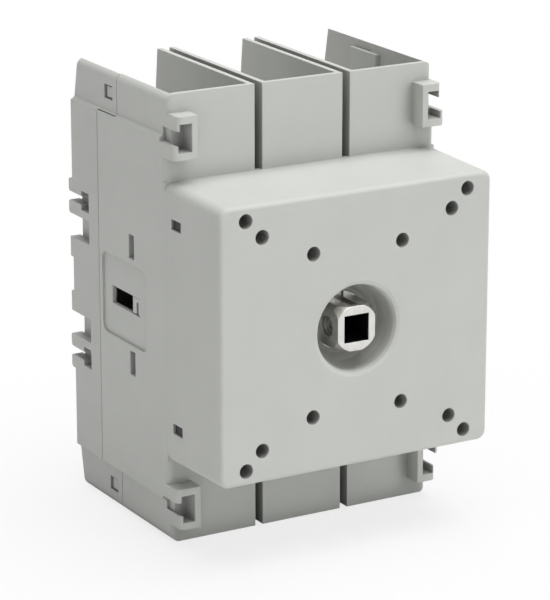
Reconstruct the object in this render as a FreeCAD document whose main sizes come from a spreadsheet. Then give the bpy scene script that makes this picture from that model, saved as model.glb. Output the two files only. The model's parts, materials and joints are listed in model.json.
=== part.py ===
"""Three-pole rotary switch disconnector for panel mounting.

Frame: the shaft axis is the Y axis and the front face lies in Y = 0, with +Y going back into
the switch, +X to the right and +Z up.  Lengths are millimetres.  The switch is shown OFF.
"""
import FreeCAD, Part
import Sketcher
import os

doc = FreeCAD.newDocument("switch_disconnector")
sheet = doc.addObject("Spreadsheet::Sheet", "sizes")

# Driving dimensions: name, value, meaning
DIMENSIONS = [
    ("body_width", 111.0, "width over the moulded side walls"),
    ("body_height", 165.0, "height over the pole compartments"),
    ("rear_plane", 111.3, "front face to the rear face of the base"),
    ("wall", 2.5, "moulded side walls"),
    ("thin_wall", 2.0, "pole front walls and partitions"),
    ("gap", 0.3, "assembly gap between mouldings"),
    ("cover_width", 110.2, "front block at its face"),
    ("cover_height", 100.6, "front block at its face"),
    ("cover_draft", 1.0, "front block grows by this much on each side towards the rear"),
    ("cover_depth", 38.5, "front face to the pole front walls"),
    ("cover_corner", 3.5, "corner radius of the front block"),
    ("cover_edge", 1.6, "rounding round the front face"),
    ("face_thick", 3.0, "front wall"),
    ("pole_pitch", 36.0, "pole to pole"),
    ("pole_slit", 3.1, "air slit between the walls of two poles"),
    ("partition_end", 109.0, "rear end of the pole partitions"),
    ("partition_lean", 1.8, "the partitions are this much shorter at their tips"),
    ("shoulder_at", 66.5, "half height where the side steps in"),
    ("shoulder_step", 1.5, "depth of that step"),
    ("shoulder_run", 1.2, "slope of that step"),
    ("top_round", 3.0, "rounding of the outer long edges"),
    ("front_round", 2.2, "rounding of the pole front corners"),
    ("seam_at", 90.0, "side seam between front housing and base"),
    ("lug_at", 77.0, "front end of the corner lugs of the base"),
    ("chamber_half", 46.0, "half height of the contact chamber"),
    ("shelf", 2.5, "wall between contact chamber and terminals"),
    ("hole_radius", 2.65, "holes in the front face"),
    ("hole_depth", 12.0, "holes in the front face"),
    ("hole_boss", 2.1, "wall round each front hole"),
    ("outer_pitch", 90.0, "square pattern of front holes"),
    ("inner_pitch", 77.1, "square pattern of front holes"),
    ("plate_pitch_x", 36.2, "rectangular pattern of front holes"),
    ("plate_pitch_z", 59.5, "rectangular pattern of front holes"),
    ("funnel_radius", 15.7, "throat of the shaft recess"),
    ("funnel_lip", 1.8, "rounding of its rim"),
    ("funnel_depth", 13.0, "depth of the shaft recess"),
    ("hub_end", 20.0, "rear end of the front bearing hub"),
    ("run_clear", 0.05, "radial running clearance"),
    ("socket_side", 10.0, "square socket for the handle shaft"),
    ("socket_depth", 19.0, "depth of that socket"),
    ("shaft_front", 0.8, "front end of the shaft behind the front face"),
    ("shaft_width", 15.2, "width of the squared shaft head"),
    ("shaft_tall", 16.4, "height of the squared shaft head"),
    ("head_front_radius", 8.5, "turned chamfer at its front end"),
    ("head_radius", 10.2, "turned corners of the head"),
    ("journal_radius", 10.6, "front journal"),
    ("flange_radius", 14.0, "thrust flange behind the hub"),
    ("flange_thick", 2.7, "thrust flange"),
    ("drive_square", 11.0, "square of the shaft that carries the cam drum"),
    ("rear_journal", 6.0, "radius of the rear journal"),
    ("key_radius", 3.8, "recess in front of the set screw"),
    ("screw_radius", 2.95, "set screw"),
    ("screw_at", 7.4, "set screw behind the shaft's front end"),
    ("screw_sunk", 1.4, "set screw below the side of the shaft head"),
    ("drum_radius", 13.0, "cam drum"),
    ("drum_front", 28.6, "front end of the cam drum"),
    ("drum_length", 19.4, "cam drum"),
    ("cam_root", 9.5, "bottom radius of the helical grooves"),
    ("pin_radius", 2.5, "follower pins"),
    ("pin_play", 0.15, "side play of a pin in its groove"),
    ("pin_at", 33.8, "follower pins at OFF"),
    ("travel", 9.0, "carrier travel in a quarter turn"),
    ("frame_at", 50.0, "front side of the mechanism frame"),
    ("frame_thick", 3.0, "mechanism frame"),
    ("sleeve_wall", 2.0, "rear bearing sleeve"),
    ("latch_half", 2.2, "half height of a frame latch arm"),
    ("latch_z", 37.5, "latch arms above and below the shaft"),
    ("latch_window_front", 27.3, "latch window in the side of the front block"),
    ("latch_window_rear", 34.1, "latch window in the side of the front block"),
    ("latch_arm", 1.9, "thickness of a frame latch arm"),
    ("arm_inner", 14.3, "driving arms of the carrier from the centre plane"),
    ("arm_thick", 3.5, "driving arms of the carrier"),
    ("arm_half", 5.0, "half height of the driving arms"),
    ("arm_lead", 5.8, "arm in front of the follower pin"),
    ("beam_front", 58.2, "carrier beam at OFF"),
    ("beam_thick", 5.0, "carrier beam"),
    ("beam_half", 7.0, "half height of the carrier beam"),
    ("cage_depth", 17.8, "contact cage behind the front of the beam"),
    ("cage_half", 11.5, "half width of a contact cage"),
    ("bridge_width", 16.0, "moving contact bridge"),
    ("bridge_thick", 3.0, "moving contact bridge"),
    ("bridge_half", 26.0, "half length of the moving contact bridge"),
    ("tip_side", 8.0, "contact tips"),
    ("tip_thick", 1.5, "contact tips"),
    ("tip_z", 21.0, "contact tips above and below the centre"),
    ("contact_play", 0.05, "clearance that stands for closed contacts"),
    ("bar_at", 84.0, "front side of the terminal bars"),
    ("bar_thick", 4.0, "terminal bars"),
    ("bar_width", 20.0, "terminal bars"),
    ("bar_inner", 14.0, "inner end of the terminal bars"),
    ("bar_outer", 67.0, "outer end of the terminal bars"),
    ("bar_corner", 4.0, "corner radius of the terminal bars"),
    ("stud_z", 57.0, "terminal bolts above and below the centre"),
    ("stud_radius", 4.0, "terminal bolt"),
    ("stud_clear", 0.5, "clearance of the terminal hole"),
    ("hex_across", 13.0, "bolt head and nut across flats"),
    ("head_thick", 5.3, "bolt head"),
    ("nut_thick", 6.5, "nut"),
    ("washer_radius", 8.0, "terminal washer"),
    ("washer_thick", 1.6, "terminal washer"),
    ("seat_front", 72.0, "front side of the terminal seats"),
    ("seat_half", 11.0, "half width of the terminal seats"),
    ("seat_outer", 64.5, "outer end of the terminal seats"),
    ("rib", 3.0, "pole ribs of the base"),
    ("rib_half", 35.5, "half height of the pole ribs"),
    ("rib_slot", 9.5, "half height of the slot for the carrier"),
    ("pillar_half", 7.0, "half width of the pillars behind the bars"),
    ("pillar_outer", 32.0, "outer end of the pillars"),
    ("plate_thick", 3.0, "rear plate of the base"),
    ("boss_radius", 4.5, "bosses of the housing screws"),
    ("boss_z", 41.0, "housing screws above and below the centre"),
    ("fix_radius", 2.0, "housing screw"),
    ("fix_head", 3.8, "head radius of the housing screw"),
    ("fix_head_thick", 3.0, "head of the housing screw"),
    ("fix_length", 32.0, "housing screw under its head"),
    ("chute_gap", 2.5, "bridge end to arc plates"),
    ("chute_pitch", 4.2, "arc plate spacing"),
    ("chute_plate", 1.2, "arc plate thickness"),
    ("chute_front", 60.5, "first arc plate"),
    ("label_front", 53.6, "side recess"),
    ("label_rear", 87.7, "side recess"),
    ("label_half", 15.2, "half height of the side recess"),
    ("label_deep", 0.8, "depth of the side recess"),
    ("label_corner", 3.0, "corner radius of the side recess"),
    ("window_front", 59.8, "side window of the carrier tab"),
    ("window_rear", 81.4, "side window of the carrier tab"),
    ("window_half", 3.35, "half height of the side window"),
    ("tab_bar", 1.5, "bars of the carrier tab in the side window"),
    ("slot_front", 62.5, "side slots"),
    ("slot_rear", 66.5, "side slots"),
    ("slot_low", 17.4, "side slots"),
    ("slot_high", 26.4, "side slots"),
    ("bracket_front", 31.5, "accessory brackets at the pole fronts"),
    ("bracket_post", 46.0, "inner side of the bracket post"),
    ("bracket_wall", 2.3, "bracket post"),
    ("bracket_lip", 1.8, "bracket lips"),
    ("bracket_low", 60.2, "bracket end nearer to the centre"),
    ("bracket_high", 75.8, "bracket end further out"),
    ("bracket_arm", 2.7, "bracket arms"),
    ("mouth_low", 65.4, "mouth of the bracket slot"),
    ("mouth_high", 70.6, "mouth of the bracket slot"),
    ("mouth_deep", 42.4, "the mouth runs back to here"),
    ("lug_slope", 3.4, "the rear face leans in at the ends"),
    ("snap_low", 71.9, "window in a corner lug"),
    ("snap_high", 77.1, "window in a corner lug"),
    ("snap_front", 80.6, "window in a corner lug"),
    ("snap_rear", 86.8, "window in a corner lug"),
    ("foot_plane", 114.2, "rear hooks and feet end here"),
    ("hook_outer", 36.6, "rear hooks"),
    ("mouth_outer", 31.6, "mouth of the rear slots"),
    ("mouth_inner", 28.3, "mouth of the rear slots"),
    ("hook_inner", 23.3, "rear hooks"),
    ("foot_outer", 14.3, "rear feet"),
    ("foot_inner", 6.7, "rear feet"),
    ("hook_front", 98.0, "front end of the rear slots"),
    ("hook_neck", 104.0, "hooks begin here"),
    ("hook_deep", 4.0, "rear slots from the side"),
]
for row, (name, number, meaning) in enumerate(DIMENSIONS, start=1):
    sheet.set(f"A{row}", str(number))
    sheet.setAlias(f"A{row}", name)
    sheet.set(f"B{row}", meaning)
doc.recompute()


class Size:
    """A length that knows its value now and the expression that keeps it bound to the sheet."""

    def __init__(self, value, text):
        self.value = float(value)
        self.text = text

    def join(self, other, sign, value):
        return Size(value, f"({self.text} {sign} {size(other).text})")

    def __add__(self, other):
        return self.join(other, "+", self.value + size(other).value)

    def __sub__(self, other):
        return self.join(other, "-", self.value - size(other).value)

    def __mul__(self, other):
        return self.join(other, "*", self.value * size(other).value)

    def __truediv__(self, other):
        return self.join(other, "/", self.value / size(other).value)

    def __neg__(self):
        return Size(-self.value, f"(0 - {self.text})")


def size(number):
    return number if isinstance(number, Size) else Size(number, repr(float(number)))


class Sizes:
    """The sheet's cells as attributes."""


s = Sizes()
for name, number, meaning in DIMENSIONS:
    setattr(s, name, Size(number, f"sizes.{name}"))

# Places that several pieces share
half_width = s.body_width / 2
half_height = s.body_height / 2
end_half_width = half_width - s.shoulder_step
chamber_x = half_width - s.wall
compartment_x = end_half_width - s.thin_wall
compartment_z = s.chamber_half + s.shelf
slit_inner = s.pole_pitch / 2 - s.pole_slit / 2
slit_outer = s.pole_pitch / 2 + s.pole_slit / 2
plate_front = s.rear_plane - s.plate_thick
frame_rear = s.frame_at + s.frame_thick
flange_front = s.hub_end + s.gap
flange_rear = flange_front + s.flange_thick
bar_rear = s.bar_at + s.bar_thick
boss_front = frame_rear + s.gap
beam_rear = s.beam_front + s.beam_thick
fixed_tip_front = s.bar_at - s.tip_thick
moving_tip_rear = fixed_tip_front - s.contact_play - s.travel
bridge_rear = moving_tip_rear - s.tip_thick
bridge_front = bridge_rear - s.bridge_thick
groove_half = s.pin_radius * 1.167 + s.pin_play
washer_rear = bar_rear + s.washer_thick
far = s.body_height
SIGNS = (-1, 1)
POLES = (-1, 0, 1)


def pole_x(pole):
    return s.pole_pitch * pole


# Drawing helpers
def new_body(name):
    body = doc.addObject("PartDesign::Body", name)
    body.Label = name
    return body


def new_sketch(body, role, name, height):
    """Sketch on the body's own origin plane, lifted along the plane's normal."""
    sketch = body.newObject("Sketcher::SketchObject", name)
    plane = next(item for item in body.Origin.OriginFeatures if item.Role == role)
    sketch.AttachmentSupport = [(plane, "")]
    sketch.MapMode = "FlatFace"
    lift = size(height)
    sketch.AttachmentOffset = FreeCAD.Placement(FreeCAD.Vector(0, 0, lift.value), FreeCAD.Rotation())
    sketch.setExpression("AttachmentOffset.Base.z", lift.text)
    return sketch


def fix_point(sketch, geometry, end, u, v):
    """Hold a point at its two coordinates, each bound to the sheet."""
    for kind, axis, place in (("DistanceX", -2, size(u)), ("DistanceY", -1, size(v))):
        if abs(place.value) < 1e-9 and "sizes" not in place.text:
            sketch.addConstraint(Sketcher.Constraint("PointOnObject", geometry, end, axis))
        else:
            number = sketch.addConstraint(Sketcher.Constraint(kind, geometry, end, place.value))
            sketch.setExpression(f"Constraints[{number}]", place.text)


def draw_polygon(sketch, points):
    first = sketch.GeometryCount
    corners = [FreeCAD.Vector(size(u).value, size(v).value, 0) for u, v in points]
    count = len(corners)
    for i in range(count):
        sketch.addGeometry(Part.LineSegment(corners[i], corners[(i + 1) % count]), False)
    for i in range(count):
        following = first + (i + 1) % count
        sketch.addConstraint(Sketcher.Constraint("Coincident", first + i, 2, following, 1))
    for i, (u, v) in enumerate(points):
        fix_point(sketch, first + i, 1, u, v)


def draw_rectangle(sketch, u0, u1, v0, v1):
    draw_polygon(sketch, [(u0, v0), (u1, v0), (u1, v1), (u0, v1)])


def draw_circle(sketch, u, v, radius):
    radius = size(radius)
    centre = FreeCAD.Vector(size(u).value, size(v).value, 0)
    ring = sketch.addGeometry(Part.Circle(centre, FreeCAD.Vector(0, 0, 1), radius.value), False)
    fix_point(sketch, ring, 3, u, v)
    number = sketch.addConstraint(Sketcher.Constraint("Radius", ring, radius.value))
    sketch.setExpression(f"Constraints[{number}]", radius.text)


def draw_corner(sketch, u, v, radius, side):
    """Waste between a sharp corner and its rounding; side is the way out along u."""
    first = sketch.GeometryCount
    inner = u - radius * side
    back = v + radius
    points = [(inner, v), (u, v), (u, back)]
    places = [FreeCAD.Vector(a.value, b.value, 0) for a, b in points]
    centre = FreeCAD.Vector(inner.value, back.value, 0)
    middle = centre + FreeCAD.Vector(side, -1, 0).normalize() * radius.value
    for i in range(2):
        sketch.addGeometry(Part.LineSegment(places[i], places[i + 1]), False)
    arc = sketch.addGeometry(Part.Arc(places[2], middle, places[0]), False)
    sketch.addConstraint(Sketcher.Constraint("Coincident", first, 2, first + 1, 1))
    fix_point(sketch, first, 1, *points[0])
    fix_point(sketch, first, 2, *points[1])
    fix_point(sketch, first + 1, 2, *points[2])
    for tip, line, which in ((places[0], first, 1), (places[2], first + 1, 2)):
        for vertex in (1, 2):
            if sketch.getPoint(arc, vertex).distanceToPoint(tip) < 1e-6:
                sketch.addConstraint(Sketcher.Constraint("Coincident", arc, vertex, line, which))
    number = sketch.addConstraint(Sketcher.Constraint("Radius", arc, radius.value))
    sketch.setExpression(f"Constraints[{number}]", radius.text)


# Each plane with the sign of its normal along the axis that it stands across
PLANES = {"X": ("YZ_Plane", 1), "Y": ("XZ_Plane", -1), "Z": ("XY_Plane", 1)}


def slab(body, name, along, start, end, draw, cut=False):
    """Extrude what draw(sketch) draws from start to end along X, Y or Z; cut it out if asked."""
    role, normal = PLANES[along]
    sketch = new_sketch(body, role, name + "_sketch", size(start) * normal)
    draw(sketch)
    kind = "PartDesign::Pocket" if cut else "PartDesign::Pad"
    before = body.Shape.Volume if body.Tip else 0.0
    feature = body.newObject(kind, name)
    feature.Profile = sketch
    length = size(end) - start
    feature.Length = length.value
    feature.setExpression("Length", length.text)
    feature.Reversed = (normal < 0) != cut
    feature.Refine = False
    doc.recompute()
    changed = feature.Shape.Volume - before
    if (changed < 0) != cut:
        raise RuntimeError(f"{name} changed the volume by {changed:.3f} mm3, the wrong way")
    return feature


def revolve(body, name, points, cut=False):
    """Turn a (radius, y) outline about the shaft axis."""
    sketch = new_sketch(body, "XY_Plane", name + "_sketch", 0)
    draw_polygon(sketch, points)
    feature = body.newObject("PartDesign::Groove" if cut else "PartDesign::Revolution", name)
    feature.Profile = sketch
    feature.ReferenceAxis = (sketch, ["V_Axis"])
    feature.Angle = 360
    doc.recompute()
    return feature


def round_edges(body, name, radius, chosen, kind="PartDesign::Fillet"):
    """Fillet the edges of the body so far that the test picks."""
    base = body.Tip
    names = [f"Edge{i}" for i, edge in enumerate(base.Shape.Edges, start=1) if chosen(edge)]
    if not names:
        raise RuntimeError(f"{name} finds no edge")
    feature = body.newObject(kind, name)
    feature.Base = (base, names)
    cell = "Radius" if kind.endswith("Fillet") else "Size"
    setattr(feature, cell, radius.value)
    feature.setExpression(cell, radius.text)
    doc.recompute()
    return feature


def runs_along(edge, axis):
    """True for a straight edge along the axis, given as 0, 1 or 2."""
    if len(edge.Vertexes) != 2:
        return False
    step = edge.Vertexes[1].Point - edge.Vertexes[0].Point
    return all(abs(step[i]) < 1e-6 for i in range(3) if i != axis) and abs(step[axis]) > 1e-6


def near(value, place, room=0.02):
    return abs(value - size(place).value) < room


def body_outline(sketch):
    """Outline of the moulded body from the front, with the sides stepped in at both ends."""
    corner = s.shoulder_at + s.shoulder_run
    half = [(half_width, -s.shoulder_at), (half_width, s.shoulder_at), (end_half_width, corner),
            (end_half_width, half_height), (-end_half_width, half_height), (-end_half_width, corner)]
    draw_polygon(sketch, half + [(-x, -z) for x, z in half])


def round_body_ends(body):
    """Round the four long outer edges of the moulded body."""
    def long_corner(edge):
        middle = edge.CenterOfMass
        return (runs_along(edge, 1) and near(abs(middle.x), end_half_width)
                and near(abs(middle.z), half_height))
    return round_edges(body, "long_edges", s.top_round, long_corner)


def make_front_housing():
    body = new_body("front_housing")
    front = s.cover_depth
    # The front block grows from its face back to the pole fronts
    rear_x = half_width
    rear_z = s.cover_height / 2 + s.cover_draft
    root = front + s.thin_wall
    slab(body, "front_block", "Y", 0, root, lambda sketch: draw_rectangle(sketch, -rear_x, rear_x, -rear_z, rear_z))

    def side_drafts(sketch):
        for side in SIGNS:
            draw_polygon(sketch, [(s.cover_width / 2 * side, 0), (rear_x * side, root),
                                  ((rear_x + 1) * side, root), ((rear_x + 1) * side, 0)])
    slab(body, "side_drafts", "Z", -rear_z, rear_z, side_drafts, cut=True)

    def top_drafts(sketch):
        for end in SIGNS:
            draw_polygon(sketch, [(0, s.cover_height / 2 * end), (root, rear_z * end),
                                  (root, (rear_z + 1) * end), (0, (rear_z + 1) * end)])
    slab(body, "top_drafts", "X", -rear_x, rear_x, top_drafts, cut=True)

    def block_corner(edge):
        middle = edge.CenterOfMass
        ends = [point.Point for point in edge.Vertexes]
        return (len(ends) == 2 and abs(ends[1].y - ends[0].y) > front.value / 2
                and middle.y < front.value and abs(middle.z) > s.cover_height.value / 2 - 1)
    round_edges(body, "block_corners", s.cover_corner, block_corner)

    def face_edge(edge):
        return all(abs(point.Y) < 1e-6 for point in edge.Vertexes)
    round_edges(body, "face_edges", s.cover_edge, face_edge)

    slab(body, "pole_block", "Y", front, s.partition_end, body_outline)
    round_body_ends(body)

    # The pole fronts are rounded at the sides, between and beyond the accessory brackets
    spans = ((rear_z, s.bracket_low, half_width), (s.bracket_high, half_height + 1, end_half_width))
    for number, (low, high, side_x) in enumerate(spans):
        for end, place in ((1, "upper"), (-1, "lower")):
            ends = [low * end, high * end]
            ends.sort(key=lambda item: item.value)

            def corners(sketch):
                for side in SIGNS:
                    draw_corner(sketch, side_x * side, front, s.front_round, side)
            slab(body, f"pole_corner_{place}_{number}", "Z", ends[0], ends[1], corners, cut=True)

    slab(body, "chamber", "Y", s.face_thick, s.partition_end + 1,
         lambda sketch: draw_rectangle(sketch, -chamber_x, chamber_x, -s.chamber_half, s.chamber_half), cut=True)

    def open_ends(sketch):
        for end in SIGNS:
            draw_rectangle(sketch, -compartment_x, compartment_x, (s.chamber_half - 1) * end, far * end)
    slab(body, "open_ends", "Y", root, s.partition_end + 1, open_ends, cut=True)

    # The base reaches in beside the ends of the dividers
    def base_notches(sketch):
        for end in SIGNS:
            draw_rectangle(sketch, -chamber_x, chamber_x, (s.chamber_half - 1) * end, (compartment_z + s.gap) * end)
    slab(body, "base_notches", "Y", s.bar_at, s.partition_end + 1, base_notches, cut=True)

    def front_slits(sketch):
        low = s.cover_height / 2 + s.cover_draft
        for end in SIGNS:
            z0, z1 = (low, far) if end > 0 else (-far, -low)
            draw_rectangle(sketch, slit_inner, slit_outer, z0, z1)
            draw_rectangle(sketch, -slit_outer, -slit_inner, z0, z1)
    slab(body, "pole_front_slits", "Y", front - 1, root + 1, front_slits, cut=True)

    # The side walls end at the seam, and earlier where the lugs of the base reach forward
    def beyond_seam(sketch):
        lug_z = s.shoulder_at + s.gap
        draw_polygon(sketch, [(s.lug_at, far), (s.lug_at, lug_z), (s.seam_at, lug_z), (s.seam_at, -lug_z),
                              (s.lug_at, -lug_z), (s.lug_at, -far), (far, -far), (far, far)])
    slab(body, "seam_right", "X", compartment_x, half_width + 1, beyond_seam, cut=True)
    slab(body, "seam_left", "X", -half_width - 1, -compartment_x, beyond_seam, cut=True)

    # Bosses of the front holes, the bearing hub and the recess round the shaft
    for number in range(3):
        def bosses(sketch):
            for x, z in front_holes()[number * 4:number * 4 + 4]:
                draw_circle(sketch, x, z, s.hole_radius + s.hole_boss)
        slab(body, f"hole_bosses_{number}", "Y", s.face_thick - 1, s.hole_depth + s.wall, bosses)
    hub_radius = s.journal_radius + s.wall
    revolve(body, "hub", [(0, s.face_thick - 1), (s.funnel_radius + s.wall * 1.5, s.face_thick - 1),
                          (s.funnel_radius + s.wall, s.funnel_depth - s.wall),
                          (hub_radius, s.funnel_depth + s.wall), (hub_radius, s.hub_end), (0, s.hub_end)])

    def holes(sketch):
        for x, z in front_holes():
            draw_circle(sketch, x, z, s.hole_radius)
    slab(body, "front_holes", "Y", 0, s.hole_depth, holes, cut=True)
    slab(body, "bearing_bore", "Y", -1, s.hub_end + 1,
         lambda sketch: draw_circle(sketch, 0, 0, s.journal_radius + s.run_clear), cut=True)
    cut_funnel(body)

    make_side_openings(body)
    make_brackets(body)
    make_snap_tongues(body)
    return body


def make_terminal_divider(end, name):
    """Insert between chamber and terminals: shelf, double pole partitions, nut seats and screw bosses."""
    body = new_body(name)
    front = s.cover_depth + s.thin_wall
    slab(body, "shelf", "Y", front, s.bar_at,
         lambda sketch: draw_rectangle(sketch, -compartment_x, compartment_x, s.chamber_half * end, compartment_z * end))

    def partitions(sketch):
        for side in SIGNS:
            for x in (slit_inner - s.thin_wall, slit_outer):
                draw_rectangle(sketch, x * side, (x + s.thin_wall) * side, (s.chamber_half + 1) * end, half_height * end)
    slab(body, "partitions", "Y", front, s.bar_at, partitions)

    def partition_ends(sketch):
        for side in SIGNS:
            for x in (slit_inner - s.thin_wall, slit_outer):
                draw_rectangle(sketch, x * side, (x + s.thin_wall) * side, (compartment_z + s.gap) * end,
                               half_height * end)
    slab(body, "partition_ends", "Y", s.bar_at - 1, s.partition_end, partition_ends)

    def tips(sketch):
        tip = s.partition_end - s.partition_lean
        draw_polygon(sketch, [(s.partition_end, s.shoulder_at * end), (tip, (half_height + 1) * end),
                              (far, (half_height + 1) * end), (far, s.shoulder_at * end)])
    slab(body, "partition_tips", "X", -slit_outer - s.wall, slit_outer + s.wall, tips, cut=True)

    def seats(sketch):
        for pole in POLES:
            x = pole_x(pole)
            draw_rectangle(sketch, x - s.seat_half, x + s.seat_half, (compartment_z - 1) * end, s.seat_outer * end)
    slab(body, "terminal_seats", "Y", s.seat_front, s.bar_at, seats)

    def nut_pockets(sketch):
        for pole in POLES:
            draw_hexagon(sketch, pole_x(pole), s.stud_z * end, s.hex_across + s.gap)
    slab(body, "nut_pockets", "Y", s.bar_at - s.nut_thick - s.gap, s.bar_at, nut_pockets, cut=True)

    def stud_holes(sketch):
        for pole in POLES:
            draw_circle(sketch, pole_x(pole), s.stud_z * end, s.stud_radius + s.stud_clear)
    slab(body, "stud_holes", "Y", s.seat_front - 1, s.bar_at, stud_holes, cut=True)

    def bosses(sketch):
        for side in SIGNS:
            draw_circle(sketch, s.pole_pitch / 2 * side, s.boss_z * end, s.boss_radius)
    slab(body, "screw_bosses", "Y", boss_front, s.bar_at, bosses)

    def webs(sketch):
        for side in SIGNS:
            x = s.pole_pitch / 2 * side
            draw_rectangle(sketch, x - s.rib / 2, x + s.rib / 2, s.boss_z * end, (s.chamber_half + 1) * end)
    slab(body, "screw_webs", "Y", boss_front, s.bar_at, webs)

    def screw_holes(sketch):
        for side in SIGNS:
            draw_circle(sketch, s.pole_pitch / 2 * side, s.boss_z * end, s.fix_radius + s.run_clear)
    slab(body, "screw_holes", "Y", boss_front + s.wall, far, screw_holes, cut=True)
    return body


def front_holes():
    """Places of the holes in the front face."""
    patterns = ((s.outer_pitch, s.outer_pitch), (s.inner_pitch, s.inner_pitch),
                (s.plate_pitch_x, s.plate_pitch_z))
    return [(px / 2 * i, pz / 2 * j) for px, pz in patterns for i in SIGNS for j in SIGNS]


def studs():
    return [(pole_x(pole), s.stud_z * end) for pole in POLES for end in SIGNS]


def housing_screws():
    return [(s.pole_pitch / 2 * i, s.boss_z * j) for i in SIGNS for j in SIGNS]


def draw_hexagon(sketch, x, z, across):
    """Hexagon with two flats upright."""
    flat = size(across) / 2
    corner = size(across) * 0.57735
    half_corner = corner / 2
    x, z = size(x), size(z)
    draw_polygon(sketch, [(x, z + corner), (x - flat, z + half_corner), (x - flat, z - half_corner),
                          (x, z - corner), (x + flat, z - half_corner), (x + flat, z + half_corner)])


def cut_funnel(body):
    """Bell-mouthed bowl round the shaft head: a rounded rim and a hollow that narrows to the bore."""
    sketch = new_sketch(body, "XY_Plane", "funnel_sketch", 0)
    rim = s.funnel_radius + s.funnel_lip
    bore = s.journal_radius
    draw_polygon(sketch, [(0, -1), (rim, -1), (rim, 0), (s.funnel_radius + s.funnel_lip * 0.3, s.funnel_lip * 0.3),
                          (s.funnel_radius, s.funnel_lip), (s.funnel_radius - 0.35, s.funnel_depth * 0.45),
                          (s.funnel_radius - 1.6, s.funnel_depth * 0.75), (bore + 1.4, s.funnel_depth - 0.6),
                          (bore, s.funnel_depth), (0, s.funnel_depth)])
    groove = body.newObject("PartDesign::Groove", "funnel")
    groove.Profile = sketch
    groove.ReferenceAxis = (sketch, ["V_Axis"])
    groove.Angle = 360
    doc.recompute()


def make_side_openings(body):
    """Side recess with the carrier window, slots for a side module and the latch windows."""
    def recess(sketch):
        draw_rectangle(sketch, s.label_front, s.label_rear, -s.label_half, s.label_half)

    def windows(sketch):
        draw_rectangle(sketch, s.window_front, s.window_rear, -s.window_half, s.window_half)
        for end in SIGNS:
            draw_rectangle(sketch, s.slot_front, s.slot_rear, s.slot_low * end, s.slot_high * end)
            low = (s.latch_z - s.latch_half + 0.3) * end
            high = (s.latch_z + s.latch_half - 0.3) * end
            draw_rectangle(sketch, s.latch_window_front, s.latch_window_rear, low, high)
    for side, name in ((1, "right"), (-1, "left")):
        outer = [(half_width - s.label_deep) * side, (half_width + 1) * side]
        through = [(chamber_x - 1) * side, (half_width + 1) * side]
        outer.sort(key=lambda item: item.value)
        through.sort(key=lambda item: item.value)
        slab(body, f"side_recess_{name}", "X", outer[0], outer[1], recess, cut=True)

        def recess_corner(edge):
            middle = edge.CenterOfMass
            return (runs_along(edge, 0) and middle.x * side > half_width.value - 1 and near(abs(middle.z), s.label_half)
                    and (near(middle.y, s.label_front) or near(middle.y, s.label_rear)))
        round_edges(body, f"recess_corners_{name}", s.label_corner, recess_corner)
        slab(body, f"side_windows_{name}", "X", through[0], through[1], windows, cut=True)


def make_brackets(body):
    """C-shaped accessory brackets in front of the pole fronts, one at each corner."""
    low_lip = half_width - s.bracket_lip
    high_lip = end_half_width - s.bracket_lip * 0.6
    post = s.bracket_post + s.bracket_wall
    low = s.bracket_low + s.bracket_arm
    high = s.bracket_high - s.bracket_arm
    outline = [(s.bracket_post, s.bracket_low), (half_width, s.bracket_low), (half_width, s.mouth_low),
               (low_lip, s.mouth_low), (low_lip, low), (post, low), (post, high), (high_lip, high),
               (high_lip, s.mouth_high), (end_half_width, s.mouth_high), (end_half_width, s.bracket_high),
               (s.bracket_post, s.bracket_high)]
    front = s.cover_depth
    for name, side in (("left", -1), ("right", 1)):
        def brackets(sketch):
            for end in SIGNS:
                draw_polygon(sketch, [(x * side, z * end) for x, z in outline])
        slab(body, f"brackets_{name}", "Y", s.bracket_front, front + 1, brackets)
        mouth = [(compartment_x + 0.9) * side, (half_width + 1) * side]
        mouth.sort(key=lambda item: item.value)

        def mouths(sketch):
            for end in SIGNS:
                draw_rectangle(sketch, front - 0.1, s.mouth_deep, s.mouth_low * end, s.mouth_high * end)
        slab(body, f"bracket_mouths_{name}", "X", mouth[0], mouth[1], mouths, cut=True)
    spans = ((s.bracket_low, s.mouth_low, half_width), (s.mouth_high, s.bracket_high, end_half_width))
    for number, (arm_low, arm_high, side_x) in enumerate(spans):
        for end, place in ((1, "upper"), (-1, "lower")):
            ends = [arm_low * end, arm_high * end]
            ends.sort(key=lambda item: item.value)

            def corners(sketch):
                for side in SIGNS:
                    draw_corner(sketch, side_x * side, s.bracket_front, s.front_round, side)
            slab(body, f"bracket_corner_{place}_{number}", "Z", ends[0], ends[1], corners, cut=True)


def make_snap_tongues(body):
    """Tongues inside the corner lugs of the base, with the nose that shows in each window."""
    thick = s.thin_wall * 0.85

    def tongues(sketch):
        for end in SIGNS:
            draw_rectangle(sketch, s.lug_at - s.wall * 2.5, s.snap_rear + s.thin_wall,
                           (s.snap_low - 2) * end, (s.snap_high + 2) * end)

    def noses(sketch):
        for end in SIGNS:
            draw_rectangle(sketch, s.snap_front + s.gap * 3, s.snap_rear - s.gap * 4,
                           (s.snap_low + s.gap * 2) * end, (s.snap_high - s.gap * 2) * end)
    for name, side in (("left", -1), ("right", 1)):
        span = [(compartment_x - thick) * side, compartment_x * side]
        nose = [(compartment_x - thick / 2) * side, (end_half_width - s.gap * 2) * side]
        for pair in (span, nose):
            pair.sort(key=lambda item: item.value)
        slab(body, f"tongues_{name}", "X", span[0], span[1], tongues)
        slab(body, f"noses_{name}", "X", nose[0], nose[1], noses)


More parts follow.
